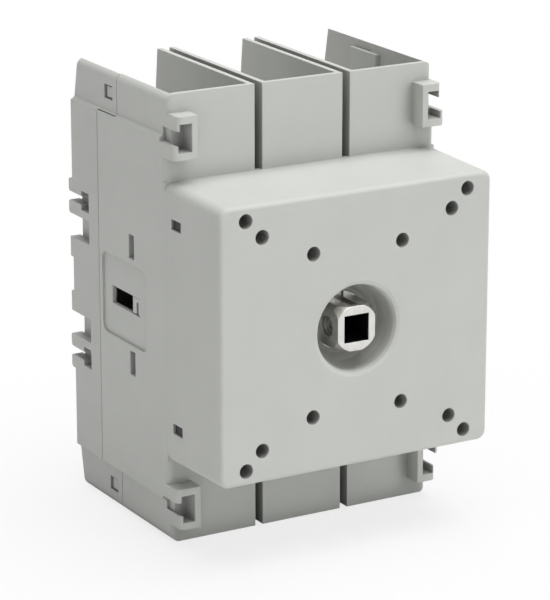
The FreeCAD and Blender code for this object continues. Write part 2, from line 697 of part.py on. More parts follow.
def make_rear_housing():
    body = new_body("rear_housing")
    slab(body, "base_block", "Y", s.lug_at + s.gap, s.rear_plane, body_outline)
    round_body_ends(body)

    # The rear face leans in towards both ends
    def lean(sketch):
        tip = s.rear_plane - s.lug_slope
        for end in SIGNS:
            draw_polygon(sketch, [(s.rear_plane + 1, s.shoulder_at * end), (s.rear_plane, s.shoulder_at * end),
                                  (tip, (half_height + 1) * end), (s.rear_plane + 1, (half_height + 1) * end)])
    slab(body, "rear_lean", "X", -half_width - 1, half_width + 1, lean, cut=True)

    # Only the corner lugs reach in front of the seam
    def before_seam(sketch):
        lug_z = s.shoulder_at + s.gap * 2
        draw_rectangle(sketch, s.lug_at - 1, s.seam_at + s.gap, -lug_z, lug_z)
    slab(body, "seam", "X", -half_width - 1, half_width + 1, before_seam, cut=True)

    lug_inner = compartment_x + s.gap
    slab(body, "inside", "Y", s.lug_at, plate_front,
         lambda sketch: draw_rectangle(sketch, -lug_inner, lug_inner, -far, far), cut=True)

    def open_ends(sketch):
        for end in SIGNS:
            draw_rectangle(sketch, -lug_inner, lug_inner, compartment_z * end, far * end)
    slab(body, "open_ends", "Y", plate_front - 1, s.rear_plane + 1, open_ends, cut=True)

    # Shelves behind the terminal bars, with a slot for each bar
    def shelves(sketch):
        for end in SIGNS:
            draw_rectangle(sketch, -lug_inner - 0.5, lug_inner + 0.5, s.chamber_half * end, compartment_z * end)
    slab(body, "shelves", "Y", s.seam_at + s.gap, plate_front + 1, shelves)

    def tongues(sketch):
        for end in SIGNS:
            draw_rectangle(sketch, s.gap - chamber_x, chamber_x - s.gap, (s.chamber_half + s.gap) * end,
                           compartment_z * end)
    slab(body, "shelf_tongues", "Y", s.bar_at + s.gap, s.seam_at + s.gap + 1, tongues)

    def bar_slots(sketch):
        for pole in POLES:
            x = pole_x(pole)
            half = s.bar_width / 2 + s.gap
            draw_rectangle(sketch, x - half, x + half, -compartment_z - 1, compartment_z + 1)
    slab(body, "bar_slots", "Y", s.bar_at, bar_rear, bar_slots, cut=True)

    def ribs(sketch):
        for side in SIGNS:
            x = s.pole_pitch / 2 * side
            for end in SIGNS:
                draw_rectangle(sketch, x - s.rib / 2, x + s.rib / 2, s.rib_slot * end, s.rib_half * end)
    slab(body, "pole_ribs", "Y", boss_front, plate_front + 1, ribs)

    def rib_roots(sketch):
        for side in SIGNS:
            x = s.pole_pitch / 2 * side
            draw_rectangle(sketch, x - s.rib / 2, x + s.rib / 2, -s.rib_slot - 1, s.rib_slot + 1)
    slab(body, "rib_roots", "Y", s.beam_front + s.cage_depth + s.travel + s.thin_wall, plate_front + 1, rib_roots)

    def pillars(sketch):
        for pole in POLES:
            x = pole_x(pole)
            for end in SIGNS:
                draw_rectangle(sketch, x - s.pillar_half, x + s.pillar_half,
                               s.bar_inner * end, s.pillar_outer * end)
    slab(body, "bar_pillars", "Y", bar_rear, plate_front + 1, pillars)

    # Screw bosses with recessed heads
    def bosses(sketch):
        for x, z in housing_screws():
            draw_circle(sketch, x, z, s.boss_radius)
    slab(body, "screw_bosses", "Y", s.bar_at + s.gap, plate_front + 1, bosses)

    def screw_holes(sketch):
        for x, z in housing_screws():
            draw_circle(sketch, x, z, s.fix_radius + s.gap)
    slab(body, "screw_holes", "Y", s.bar_at, far, screw_holes, cut=True)

    def head_recesses(sketch):
        for x, z in housing_screws():
            draw_circle(sketch, x, z, s.fix_head + s.gap)
    slab(body, "head_recesses", "Y", s.rear_plane - s.fix_head_thick - s.gap, far, head_recesses, cut=True)

    # Windows for the snap noses
    for side, name in ((1, "right"), (-1, "left")):
        span = [(lug_inner - 1) * side, (half_width + 1) * side]
        span.sort(key=lambda item: item.value)

        def windows(sketch):
            for end in SIGNS:
                draw_rectangle(sketch, s.snap_front, s.snap_rear, s.snap_low * end, s.snap_high * end)
        slab(body, f"snap_windows_{name}", "X", span[0], span[1], windows, cut=True)
        make_rear_rail(body, side, name)
    return body


def make_rear_rail(body, side, name):
    """Hooks, feet and slots along one rear edge, for clip-on feet or a side module."""
    span = [(half_width - s.hook_deep) * side, half_width * side]
    span.sort(key=lambda item: item.value)
    backing = [(half_width - s.hook_deep - s.thin_wall) * side, (half_width - s.wall / 2) * side]
    backing.sort(key=lambda item: item.value)
    reach = s.hook_outer + s.thin_wall
    slab(body, f"rail_backing_{name}", "X", backing[0], backing[1],
         lambda sketch: draw_rectangle(sketch, s.hook_front - s.thin_wall, plate_front + 1, -reach, reach))

    def hooks(sketch):
        for end in SIGNS:
            draw_rectangle(sketch, s.hook_neck, s.foot_plane, s.mouth_outer * end, s.hook_outer * end)
            draw_rectangle(sketch, s.hook_neck, s.foot_plane, s.hook_inner * end, s.mouth_inner * end)
            draw_rectangle(sketch, s.hook_neck, s.foot_plane - 0.8, s.foot_inner * end, s.foot_outer * end)
    slab(body, f"hooks_{name}", "X", span[0], span[1], hooks)

    def slots(sketch):
        for end in SIGNS:
            slot_low = s.mouth_inner - s.thin_wall
            slot_high = s.mouth_outer + s.thin_wall
            draw_polygon(sketch, [(s.hook_front, slot_low * end), (s.hook_neck, slot_low * end),
                                  (s.hook_neck, s.mouth_inner * end), (far, s.mouth_inner * end),
                                  (far, s.mouth_outer * end), (s.hook_neck, s.mouth_outer * end),
                                  (s.hook_neck, slot_high * end), (s.hook_front, slot_high * end)])
            draw_rectangle(sketch, s.hook_front, far, s.foot_outer * end, s.hook_inner * end)
    through = [(half_width - s.hook_deep) * side, (half_width + 1) * side]
    through.sort(key=lambda item: item.value)
    slab(body, f"rear_slots_{name}", "X", through[0], through[1], slots, cut=True)

    def hook_tip(edge):
        middle = edge.CenterOfMass
        return (runs_along(edge, 0) and near(middle.y, s.foot_plane) and middle.x * side > 0
                and abs(middle.z) > s.foot_outer.value)
    round_edges(body, f"hook_tips_{name}", s.thin_wall * 0.6, hook_tip)


def make_mechanism_frame():
    """Plate behind the cam drum, snapped into the side windows of the front block."""
    body = new_body("mechanism_frame")
    plate_x = chamber_x - s.gap
    plate_z = s.chamber_half - s.gap
    slab(body, "plate", "Y", s.frame_at, frame_rear,
         lambda sketch: draw_rectangle(sketch, -plate_x, plate_x, -plate_z, plate_z))

    def arms(sketch):
        for side in SIGNS:
            for end in SIGNS:
                draw_rectangle(sketch, (plate_x - s.latch_arm) * side, plate_x * side,
                               (s.latch_z - s.latch_half + s.gap) * end, (s.latch_z + s.latch_half - s.gap) * end)
    slab(body, "latch_arms", "Y", s.latch_window_front + s.gap, s.frame_at + 1, arms)
    for side, name in ((1, "right"), (-1, "left")):
        span = [(plate_x - 1) * side, (half_width - s.gap * 3) * side]
        span.sort(key=lambda item: item.value)

        def noses(sketch):
            nose_half = s.latch_half - s.gap * 2
            for end in SIGNS:
                draw_polygon(sketch, [(s.latch_window_front + s.gap, (s.latch_z - nose_half) * end),
                                      (s.latch_window_rear - s.gap, (s.latch_z - nose_half) * end),
                                      (s.latch_window_rear - s.gap, (s.latch_z + nose_half) * end),
                                      (s.latch_window_front + s.gap, (s.latch_z + nose_half) * end)])
        slab(body, f"latch_noses_{name}", "X", span[0], span[1], noses)
    sleeve = s.rear_journal + s.run_clear + s.sleeve_wall
    slab(body, "bearing_seat", "Y", s.frame_at - 1, frame_rear + 1,
         lambda sketch: draw_circle(sketch, 0, 0, sleeve), cut=True)

    def arm_slots(sketch):
        for side in SIGNS:
            draw_rectangle(sketch, (s.arm_inner - s.gap) * side, (s.arm_inner + s.arm_thick + s.gap) * side,
                           -s.arm_half - s.gap, s.arm_half + s.gap)
    slab(body, "arm_slots", "Y", s.frame_at - 1, frame_rear + 1, arm_slots, cut=True)

    def stiffeners(sketch):
        for end in SIGNS:
            draw_rectangle(sketch, -plate_x + s.wall * 2, plate_x - s.wall * 2,
                           (s.arm_half + s.wall * 5) * end, (s.arm_half + s.wall * 6) * end)
    slab(body, "stiffening_ribs", "Y", s.frame_at - s.wall * 2, s.frame_at + 1, stiffeners)
    return body


def make_drive_shaft():
    """Turned and milled shaft: squared head with its socket, two journals, a flange and a drive square."""
    body = new_body("drive_shaft")
    head_end = s.funnel_depth - s.gap
    front = s.shaft_front
    chamfer_end = front + (s.head_radius - s.head_front_radius) * 1.8
    square_radius = s.drive_square * 0.7071
    frame_sleeve_rear = frame_rear + s.sleeve_wall * 0.6
    ring_groove = frame_sleeve_rear + s.gap
    rear_end = ring_groove + s.gap * 7
    revolve(body, "turned_blank", [
        (0, front), (s.head_front_radius, front), (s.head_radius, chamfer_end), (s.head_radius, head_end),
        (s.journal_radius, head_end), (s.journal_radius, flange_front), (s.flange_radius, flange_front),
        (s.flange_radius, flange_rear), (square_radius, flange_rear), (square_radius, s.frame_at - s.gap * 2),
        (s.rear_journal, s.frame_at - s.gap * 2), (s.rear_journal, ring_groove),
        (s.rear_journal - s.gap * 3, ring_groove), (s.rear_journal - s.gap * 3, ring_groove + s.gap * 4),
        (s.rear_journal, ring_groove + s.gap * 4), (s.rear_journal, rear_end), (0, rear_end)])

    def head_flats(sketch):
        reach = s.flange_radius + 2
        draw_rectangle(sketch, s.shaft_width / 2, reach, -reach, reach)
        draw_rectangle(sketch, -reach, -s.shaft_width / 2, -reach, reach)
    slab(body, "head_sides", "Y", front - 1, head_end, head_flats, cut=True)

    def head_top(sketch):
        reach = s.flange_radius + 2
        draw_rectangle(sketch, -reach, reach, s.shaft_tall / 2, reach)
        draw_rectangle(sketch, -reach, reach, -reach, -s.shaft_tall / 2)
    slab(body, "head_top_and_bottom", "Y", front - 1, head_end, head_top, cut=True)

    def square_flats(sketch):
        reach = s.flange_radius + 2
        half = s.drive_square / 2
        draw_rectangle(sketch, half, reach, -reach, reach)
        draw_rectangle(sketch, -reach, -half, -reach, reach)
    slab(body, "square_sides", "Y", flange_rear, s.frame_at - s.gap * 2, square_flats, cut=True)

    def square_tops(sketch):
        reach = s.flange_radius + 2
        half = s.drive_square / 2
        draw_rectangle(sketch, -reach, reach, half, reach)
        draw_rectangle(sketch, -reach, reach, -reach, -half)
    slab(body, "square_top_and_bottom", "Y", flange_rear, s.frame_at - s.gap * 2, square_tops, cut=True)

    half_socket = s.socket_side / 2
    slab(body, "socket", "Y", front - 1, front + s.socket_depth,
         lambda sketch: draw_rectangle(sketch, -half_socket, half_socket, -half_socket, half_socket), cut=True)

    screw_y = front + s.screw_at
    slab(body, "screw_hole", "X", -s.head_radius, -half_socket + 1,
         lambda sketch: draw_circle(sketch, screw_y, 0, s.screw_radius + s.run_clear), cut=True)
    slab(body, "key_recess", "X", -s.head_radius, -s.shaft_width / 2 + s.screw_sunk,
         lambda sketch: draw_circle(sketch, screw_y, 0, s.key_radius), cut=True)
    slab(body, "top_notch", "Z", s.shaft_tall / 2 - s.pin_radius * 0.6, s.head_radius + 1,
         lambda sketch: draw_rectangle(sketch, -s.pin_radius * 0.7, s.pin_radius * 0.7, front + 2.2, head_end + 1),
         cut=True)
    return body


def make_set_screw():
    body = new_body("shaft_set_screw")
    screw_y = s.shaft_front + s.screw_at
    start = -s.shaft_width / 2 + s.screw_sunk
    end = -s.socket_side / 2
    slab(body, "shank", "X", start, end, lambda sketch: draw_circle(sketch, screw_y, 0, s.screw_radius))

    def outer_rim(edge):
        return near(edge.CenterOfMass.x, start)
    round_edges(body, "end_chamfer", s.run_clear * 8, outer_rim, "PartDesign::Chamfer")

    def key(sketch):
        draw_polygon(sketch, hexagon_points(screw_y, size(0), s.screw_radius))
    slab(body, "hex_key_socket", "X", start - 1, (start + end) / 2, key, cut=True)
    return body


def hexagon_points(x, z, across):
    flat = size(across) / 2
    corner = size(across) * 0.57735
    half_corner = corner / 2
    return [(x, z + corner), (x - flat, z + half_corner), (x - flat, z - half_corner),
            (x, z - corner), (x + flat, z - half_corner), (x + flat, z + half_corner)]


def make_cam_drum():
    """Drum with two left-hand helical grooves; a quarter turn moves a pin back by the travel."""
    body = new_body("cam_drum")
    rear = s.drum_front + s.drum_length
    slab(body, "drum", "Y", s.drum_front, rear, lambda sketch: draw_circle(sketch, 0, 0, s.drum_radius))
    half = s.drive_square / 2 + s.run_clear
    slab(body, "square_bore", "Y", s.drum_front - 1, rear + 1,
         lambda sketch: draw_rectangle(sketch, -half, half, -half, half), cut=True)
    outer = s.drum_radius + 1
    for side, name in ((1, "right"), (-1, "left")):
        sketch = new_sketch(body, "XY_Plane", f"groove_sketch_{name}", 0)
        draw_rectangle(sketch, s.cam_root * side, outer * side, s.pin_at - groove_half, s.pin_at + groove_half)
        groove = body.newObject("PartDesign::SubtractiveHelix", f"groove_{name}")
        groove.Profile = sketch
        groove.ReferenceAxis = (sketch, ["V_Axis"])
        groove.Mode = 1
        groove.Turns = 0.25
        groove.LeftHanded = True
        pitch = s.travel * 4
        groove.Pitch = pitch.value
        groove.setExpression("Pitch", pitch.text)
        doc.recompute()
        ends = [s.cam_root * side, outer * side]
        ends.sort(key=lambda item: item.value)
        slab(body, f"groove_start_{name}", "X", ends[0], ends[1],
             lambda sketch: draw_circle(sketch, s.pin_at, 0, groove_half), cut=True)
        slab(body, f"groove_end_{name}", "Z", ends[0], ends[1],
             lambda sketch: draw_circle(sketch, 0, s.pin_at + s.travel, groove_half), cut=True)
    return body


def make_snap_spring():
    """Rectangular-wire torsion spring between the flange and the cam drum."""
    body = new_body("snap_spring")
    wire_wide = s.sleeve_wall * 0.7
    wire_thick = s.sleeve_wall * 0.55
    inner = s.drive_square * 0.7071 + s.thin_wall
    room = s.drum_front - flange_rear
    start = flange_rear + s.run_clear
    turns = 2.25
    sketch = new_sketch(body, "XY_Plane", "wire_sketch", 0)
    draw_rectangle(sketch, inner, inner + wire_wide, start, start + wire_thick)
    coil = body.newObject("PartDesign::AdditiveHelix", "coil")
    coil.Profile = sketch
    coil.ReferenceAxis = (sketch, ["V_Axis"])
    coil.Mode = 1
    coil.Turns = turns
    pitch = (room - wire_thick - s.run_clear * 2) / turns
    coil.Pitch = pitch.value
    coil.setExpression("Pitch", pitch.text)
    doc.recompute()
    return body


def make_shaft_sleeve():
    """Flanged bearing sleeve in the mechanism frame."""
    body = new_body("shaft_sleeve")
    bore = s.rear_journal + s.run_clear
    outer = bore + s.sleeve_wall
    revolve(body, "sleeve", [(bore, s.frame_at), (outer, s.frame_at), (outer, frame_rear),
                             (outer + s.sleeve_wall, frame_rear), (outer + s.sleeve_wall, frame_rear + s.sleeve_wall * 0.6),
                             (bore, frame_rear + s.sleeve_wall * 0.6)])
    return body


def make_retaining_ring():
    body = new_body("retaining_ring")
    start = frame_rear + s.sleeve_wall * 0.6 + s.gap
    inner = s.rear_journal - s.gap * 3
    slab(body, "ring", "Y", start, start + s.gap * 4 - s.run_clear * 2,
         lambda sketch: draw_circle(sketch, 0, 0, s.rear_journal + s.sleeve_wall))
    slab(body, "ring_bore", "Y", start - 1, start + s.gap * 8,
         lambda sketch: draw_circle(sketch, 0, 0, inner + s.run_clear), cut=True)
    slab(body, "ring_gap", "Y", start - 1, start + s.gap * 8,
         lambda sketch: draw_rectangle(sketch, -s.thin_wall, s.thin_wall, -s.rear_journal * 2, 0), cut=True)
    return body


def make_contact_carrier():
    """Moulded slider: a beam across the poles, a cage for each bridge, two driving arms and end tabs."""
    body = new_body("contact_carrier")
    front = s.beam_front
    beam_x = chamber_x - s.gap
    slab(body, "beam", "Y", front, beam_rear,
         lambda sketch: draw_rectangle(sketch, -beam_x, beam_x, -s.beam_half, s.beam_half))

    def cages(sketch):
        for pole in POLES:
            x = pole_x(pole)
            draw_rectangle(sketch, x - s.cage_half, x + s.cage_half, -s.beam_half, s.beam_half)
    slab(body, "cages", "Y", beam_rear - 1, front + s.cage_depth, cages)

    def bridge_ways(sketch):
        for pole in POLES:
            x = pole_x(pole)
            half = s.bridge_width / 2 + s.gap
            draw_rectangle(sketch, x - half, x + half, beam_rear, bridge_rear + s.run_clear)
    slab(body, "bridge_ways", "Z", -s.beam_half - 1, s.beam_half + 1, bridge_ways, cut=True)

    arm_front = s.pin_at - s.arm_lead

    def arms(sketch):
        for side in SIGNS:
            draw_rectangle(sketch, s.arm_inner * side, (s.arm_inner + s.arm_thick) * side, -s.arm_half, s.arm_half)
    slab(body, "driving_arms", "Y", arm_front, front + 1, arms)
    slab(body, "pin_holes", "X", -s.arm_inner - s.arm_thick - 1, s.arm_inner + s.arm_thick + 1,
         lambda sketch: draw_circle(sketch, s.pin_at, 0, s.pin_radius + s.run_clear / 2), cut=True)
    tab_half = s.window_half - s.gap
    tab_front = s.window_front + s.gap
    for side, name in ((1, "right"), (-1, "left")):
        span = [(beam_x - 2) * side, (half_width - s.label_deep - s.gap) * side]
        span.sort(key=lambda item: item.value)
        slab(body, f"tab_{name}", "X", span[0], span[1],
             lambda sketch: draw_rectangle(sketch, tab_front, beam_rear + s.gap * 9, -tab_half, tab_half))
        notch = [(half_width - s.wall) * side, (half_width + 1) * side]
        notch.sort(key=lambda item: item.value)
        slab(body, f"tab_notch_{name}", "X", notch[0], notch[1],
             lambda sketch: draw_rectangle(sketch, tab_front + s.tab_bar, tab_front + s.tab_bar * 2, -far, s.tab_bar),
             cut=True)

    def arm_tip(edge):
        middle = edge.CenterOfMass
        return runs_along(edge, 0) and near(middle.y, arm_front)
    round_edges(body, "arm_tips", s.arm_half * 0.7, arm_tip)
    return body


def make_follower_pins():
    body = new_body("follower_pins")
    tip = s.cam_root + s.gap
    end = s.arm_inner + s.arm_thick
    for side, name in ((1, "right"), (-1, "left")):
        span = [tip * side, end * side]
        span.sort(key=lambda item: item.value)
        slab_group(body, f"pin_{name}", "X", span[0], span[1],
                   lambda sketch: draw_circle(sketch, s.pin_at, 0, s.pin_radius))
    return body


def slab_group(body, name, along, start, end, draw):
    """A slab that may stand apart from the rest of its group."""
    body.AllowCompound = True
    return slab(body, name, along, start, end, draw)


def make_contact_bridge(pole):
    """Copper bridge with chamfered ends, lying across the gap between the two terminal bars."""
    body = new_body(f"contact_bridge_{pole + 2}")
    x = pole_x(pole)
    half = s.bridge_width / 2
    narrow = half * 0.62
    waist = s.beam_half + s.thin_wall
    neck = waist + s.thin_wall * 2

    def outline(sketch):
        right = [(x + half, -neck), (x + half, neck)]
        draw_polygon(sketch, [(x + half, -s.bridge_half + 2), (x + half, s.bridge_half - 2),
                              (x + half - 2, s.bridge_half), (x - half + 2, s.bridge_half),
                              (x - half, s.bridge_half - 2), (x - half, -s.bridge_half + 2),
                              (x - half + 2, -s.bridge_half), (x + half - 2, -s.bridge_half)])
    slab(body, "bridge", "Y", bridge_front, bridge_rear, outline)

    def notches(sketch):
        for side in SIGNS:
            draw_rectangle(sketch, x + narrow * side, x + (half + 1) * side, neck, neck + s.thin_wall)
            draw_rectangle(sketch, x + narrow * side, x + (half + 1) * side, -neck, -neck - s.thin_wall)
    slab(body, "notches", "Y", bridge_front, bridge_rear, notches, cut=True)
    return body


def make_tips(name, poles, front):
    """Silver contact tips, one at each end of each pole."""
    body = new_body(name)
    half = s.tip_side / 2
    for pole in poles:
        for end in SIGNS:
            x = pole_x(pole)
            low, high = (s.tip_z * end - half, s.tip_z * end + half)
            slab_group(body, f"tip_{pole + 2}_{'upper' if end > 0 else 'lower'}", "Y", front, front + s.tip_thick,
                       lambda sketch: draw_rectangle(sketch, x - half, x + half, low, high))
    return body


def make_contact_spring(pole):
    """Bowed leaf spring between the carrier beam and the bridge."""
    name = f"contact_spring_{pole + 2}"
    span = s.beam_half.value * 2
    thick = s.chute_plate.value / 2
    rise = bridge_front.value - beam_rear.value - thick - 2 * s.run_clear.value
    low = beam_rear.value + s.run_clear.value
    width = s.bridge_width.value * 0.7
    x = pole_x(pole).value - width / 2

    def point(y, z):
        return FreeCAD.Vector(x, y, z)
    inner = Part.Arc(point(low + rise, -span), point(low, 0), point(low + rise, span))
    outer = Part.Arc(point(low + rise + thick, -span), point(low + thick, 0), point(low + rise + thick, span))
    ends = [Part.LineSegment(point(low + rise, side), point(low + rise + thick, side)) for side in (-span, span)]
    wire = Part.Wire(Part.__sortEdges__([inner.toShape(), outer.toShape(), ends[0].toShape(), ends[1].toShape()]))
    spring = doc.addObject("Part::Feature", name)
    spring.Shape = Part.Face(wire).extrude(FreeCAD.Vector(width, 0, 0))
    spring.Placement = FreeCAD.Placement()
    spring.Label = name
    return spring


def make_terminal(pole, end):
    """Flat copper bar: bolted outside the shelf, carrying its contact tip inside."""
    kind = "line" if end > 0 else "load"
    body = new_body(f"{kind}_terminal_{pole + 2}")
    x = pole_x(pole)
    half = s.bar_width / 2

    def outline(sketch):
        draw_rectangle(sketch, x - half, x + half, s.bar_inner * end, s.bar_outer * end)
    slab(body, "bar", "Y", s.bar_at, bar_rear, outline)

    def outer_corner(edge):
        return runs_along(edge, 1) and near(edge.CenterOfMass.z * end, s.bar_outer)
    round_edges(body, "outer_corners", s.bar_corner, outer_corner)
    slab(body, "bolt_hole", "Y", s.bar_at - 1, bar_rear + 1,
         lambda sketch: draw_circle(sketch, x, s.stud_z * end, s.stud_radius + s.stud_clear), cut=True)
    return body


def make_terminal_bolts():
    body = new_body("terminal_bolts")
    for number, (x, z) in enumerate(studs()):
        slab_group(body, f"head_{number}", "Y", washer_rear, washer_rear + s.head_thick,
                   lambda sketch: draw_hexagon(sketch, x, z, s.hex_across))
        slab_group(body, f"shank_{number}", "Y", s.seat_front + 1, washer_rear,
                   lambda sketch: draw_circle(sketch, x, z, s.stud_radius))
    return body


def make_terminal_washers():
    body = new_body("terminal_washers")
    for number, (x, z) in enumerate(studs()):
        def washer(sketch):
            draw_circle(sketch, x, z, s.washer_radius)
            draw_circle(sketch, x, z, s.stud_radius + s.run_clear * 2)
        slab_group(body, f"washer_{number}", "Y", bar_rear, washer_rear, washer)
    return body


def make_terminal_nuts():
    body = new_body("terminal_nuts")
    for number, (x, z) in enumerate(studs()):
        def nut(sketch):
            draw_hexagon(sketch, x, z, s.hex_across)
            draw_circle(sketch, x, z, s.stud_radius + s.run_clear)
        slab_group(body, f"nut_{number}", "Y", s.bar_at - s.nut_thick, s.bar_at, nut)
    return body


def make_housing_screws():
    body = new_body("housing_screws")
    head_rear = s.rear_plane - s.gap
    head_front = s.rear_plane - s.fix_head_thick - s.gap
    for number, (x, z) in enumerate(housing_screws()):
        slab_group(body, f"shank_{number}", "Y", head_front - s.fix_length, head_front,
                   lambda sketch: draw_circle(sketch, x, z, s.fix_radius))
        slab_group(body, f"head_{number}", "Y", head_front, head_rear,
                   lambda sketch: draw_circle(sketch, x, z, s.fix_head))
        arm = s.fix_head * 0.62
        slot = s.fix_radius * 0.3

        def cross(sketch):
            draw_polygon(sketch, [(x + arm, z - slot), (x + arm, z + slot), (x + slot, z + slot), (x + slot, z + arm),
                                  (x - slot, z + arm), (x - slot, z + slot), (x - arm, z + slot), (x - arm, z - slot),
                                  (x - slot, z - slot), (x - slot, z - arm), (x + slot, z - arm), (x + slot, z - slot)])
        slab(body, f"recess_{number}", "Y", head_rear - s.fix_head_thick * 0.6, head_rear, cross, cut=True)
    return body


def make_arc_plates(pole):
    """Notched steel plates above and below the contacts of one pole."""
    body = new_body(f"arc_plates_{pole + 2}")
    x = pole_x(pole)
    wide = s.pole_pitch / 2 - s.rib / 2 - s.gap
    slim = s.pole_pitch / 2 - s.boss_radius - s.gap * 3
    inner = s.bridge_half + s.chute_gap
    neck = s.rib_half + s.gap
    outer = s.chamber_half - s.gap * 10
    for end in SIGNS:
        for number in range(5):
            start = s.chute_front + s.chute_pitch * number

            def plate(sketch):
                notch = (neck - inner) * 0.8
                draw_polygon(sketch, [(x + u, v * end) for u, v in [
                    (wide, inner), (wide, neck), (slim, neck), (slim, outer), (-slim, outer), (-slim, neck),
                    (-wide, neck), (-wide, inner), (-notch, inner), (size(0), inner + notch), (notch, inner)]])
            slab_group(body, f"plate_{'upper' if end > 0 else 'lower'}_{number}", "Y",
                       start, start + s.chute_plate, plate)
    return body


pieces = [make_front_housing(), make_terminal_divider(1, "terminal_divider_upper"),
          make_terminal_divider(-1, "terminal_divider_lower"), make_rear_housing(), make_mechanism_frame(), make_drive_shaft(), make_set_screw(),
          make_cam_drum(), make_snap_spring(), make_shaft_sleeve(), make_retaining_ring(), make_contact_carrier(),
          make_follower_pins(), make_tips("fixed_contact_tips", POLES, fixed_tip_front),
          make_terminal_bolts(), make_terminal_washers(), make_terminal_nuts(), make_housing_screws()]
for pole in POLES:
    pieces.append(make_contact_bridge(pole))
    pieces.append(make_tips(f"moving_contact_tips_{pole + 2}", (pole,), bridge_rear))
    pieces.append(make_contact_spring(pole))
    pieces.append(make_arc_plates(pole))
    for end in SIGNS:
        pieces.append(make_terminal(pole, end))
for piece in pieces:
    if piece.TypeId == "PartDesign::Body" and hasattr(piece.Tip, "Refine"):
        piece.Tip.Refine = True
doc.recompute()

# Nothing is written unless every object is sound
for item in doc.Objects:
    if "Invalid" in item.State or "Error" in item.State:
        raise RuntimeError(f"{item.Label} is in state {item.State}")
for piece in pieces:
    if piece.Shape.isNull() or not piece.Shape.isValid():
        raise RuntimeError(f"{piece.Label} has no valid shape")

os.makedirs("parts", exist_ok=True)
for piece in pieces:
    piece.Shape.exportStep(f"parts/{piece.Label}.step")
    print(piece.Label, len(piece.Shape.Solids), round(piece.Shape.Volume))
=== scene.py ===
import json
import math

import bmesh
import bpy
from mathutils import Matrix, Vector


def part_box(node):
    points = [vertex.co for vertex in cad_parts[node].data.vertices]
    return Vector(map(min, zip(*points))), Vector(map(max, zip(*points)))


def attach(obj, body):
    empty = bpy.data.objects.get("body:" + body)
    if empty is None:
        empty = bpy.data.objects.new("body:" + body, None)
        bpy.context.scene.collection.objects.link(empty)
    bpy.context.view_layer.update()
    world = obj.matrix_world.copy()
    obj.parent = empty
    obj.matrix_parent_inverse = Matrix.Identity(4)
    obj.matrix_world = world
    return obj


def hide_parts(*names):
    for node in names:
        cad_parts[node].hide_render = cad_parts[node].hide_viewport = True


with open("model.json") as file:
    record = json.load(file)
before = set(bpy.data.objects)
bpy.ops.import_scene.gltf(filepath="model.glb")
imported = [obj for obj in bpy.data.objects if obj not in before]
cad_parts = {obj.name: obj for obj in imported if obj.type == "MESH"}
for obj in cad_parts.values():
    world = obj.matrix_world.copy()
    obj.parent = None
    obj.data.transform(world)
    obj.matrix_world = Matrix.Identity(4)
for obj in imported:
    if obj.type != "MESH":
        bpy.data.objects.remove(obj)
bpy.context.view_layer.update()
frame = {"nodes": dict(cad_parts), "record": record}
MM = 0.001
scene = bpy.context.scene

# Camera: where the photograph was taken from, on the left, in front and a little above
CAMERA_PLACE = Vector((-542.0, -880.1, 321.0)) * MM
CAMERA_YAW = 0.5239
CAMERA_PITCH = 0.2919
CAMERA_LENS = 185.3
CAMERA_SENSOR = 36.0

# Studio light: the world's fill, then name, place, aim, size and power of each softbox
FILL_STRENGTH = 0.25
LIGHTS = [
    ("overhead_softbox", (0.3, -0.3, 2.6), (0.0, 0.05, 0.0), (2.4, 2.2), 67.0),
    ("front_softbox", (1.2, -2.3, 0.9), (0.0, 0.0, 0.0), (1.6, 1.6), 16.0),
    ("side_softbox", (-2.4, -0.6, 0.7), (0.0, 0.0, 0.0), (1.6, 1.6), 2.4),
]

# Floor: just under the switch, and how far out it turns into plain white paper
FLOOR_GAP = 0.0002
FLOOR_REACH = 6.0
PAPER_NEAR, PAPER_FAR = 0.07, 0.26

# Terminal bolts, in millimetres: places, head, shank and thread
STUDS = [(x, z) for x in (-36.0, 0.0, 36.0) for z in (-57.0, 57.0)]
HEX_ACROSS = 13.0
HEX_CORNER = 6.95
HEAD_FRONT, HEAD_REAR = 89.6, 94.9
BEARING_RADIUS = 6.1
CROWN_RADIUS = 6.2
DISH_RADIUS = 5.1
DISH_DEPTH = 0.35
SHANK_RADIUS = 3.7
SHANK_FRONT = 73.0
THREAD_RADIUS = 3.66
THREAD_PITCH = 1.25
THREAD_TURNS = 13
RING_STEPS = 48

# Square socket of the shaft, in millimetres
SOCKET_HALF = 5.03
SOCKET_FRONT, SOCKET_REAR = 0.95, 25.0

# Ejector pin marks on the rear plate, in millimetres
REAR_PLATE = 111.28
MARKS = [(x, REAR_PLATE, z) for x in (-44.0, -18.0, 0.0, 18.0, 44.0) for z in (-20.0, 0.0, 20.0)]
MARK_RADIUS = 2.4
MARK_HEIGHT = 0.12

# How far the painted shade reaches out of narrow places on plastic and on metal, in millimetres
PLASTIC_SHADE_REACH = 9.0
METAL_SHADE_REACH = 7.0

# Rounding that edges show and the width of their wear, in millimetres
MOULDED_EDGE = 0.45
MOULDED_WEAR = 1.1
METAL_EDGE = 0.3

# Fineness of the noises: moulding pits, drift and flow of the resin, stains and polish of metal
PIT_SCALE = 2600.0
DRIFT_SCALE = 38.0
FLOW_SCALE = 130.0
PATCH_SCALE = 210.0
FINE_SCALE = 3800.0

# Moulded finishes: colour, roughness, drift of the colour, paleness of edges, depth of the grain
PLASTICS = {
    "light_grey_plastic": ((0.598, 0.610, 0.580), 0.52, 0.02, 0.1, 0.02),
    "base_grey_plastic": ((0.585, 0.594, 0.566), 0.55, 0.02, 0.1, 0.02),
    "frame_plastic": ((0.03, 0.03, 0.032), 0.5, 0.1, 0.02, 0.02),
    "carrier_plastic": ((0.62, 0.62, 0.6), 0.45, 0.03, 0.05, 0.02),
    "drum_plastic": ((0.7, 0.68, 0.6), 0.35, 0.02, 0.05, 0.01),
}

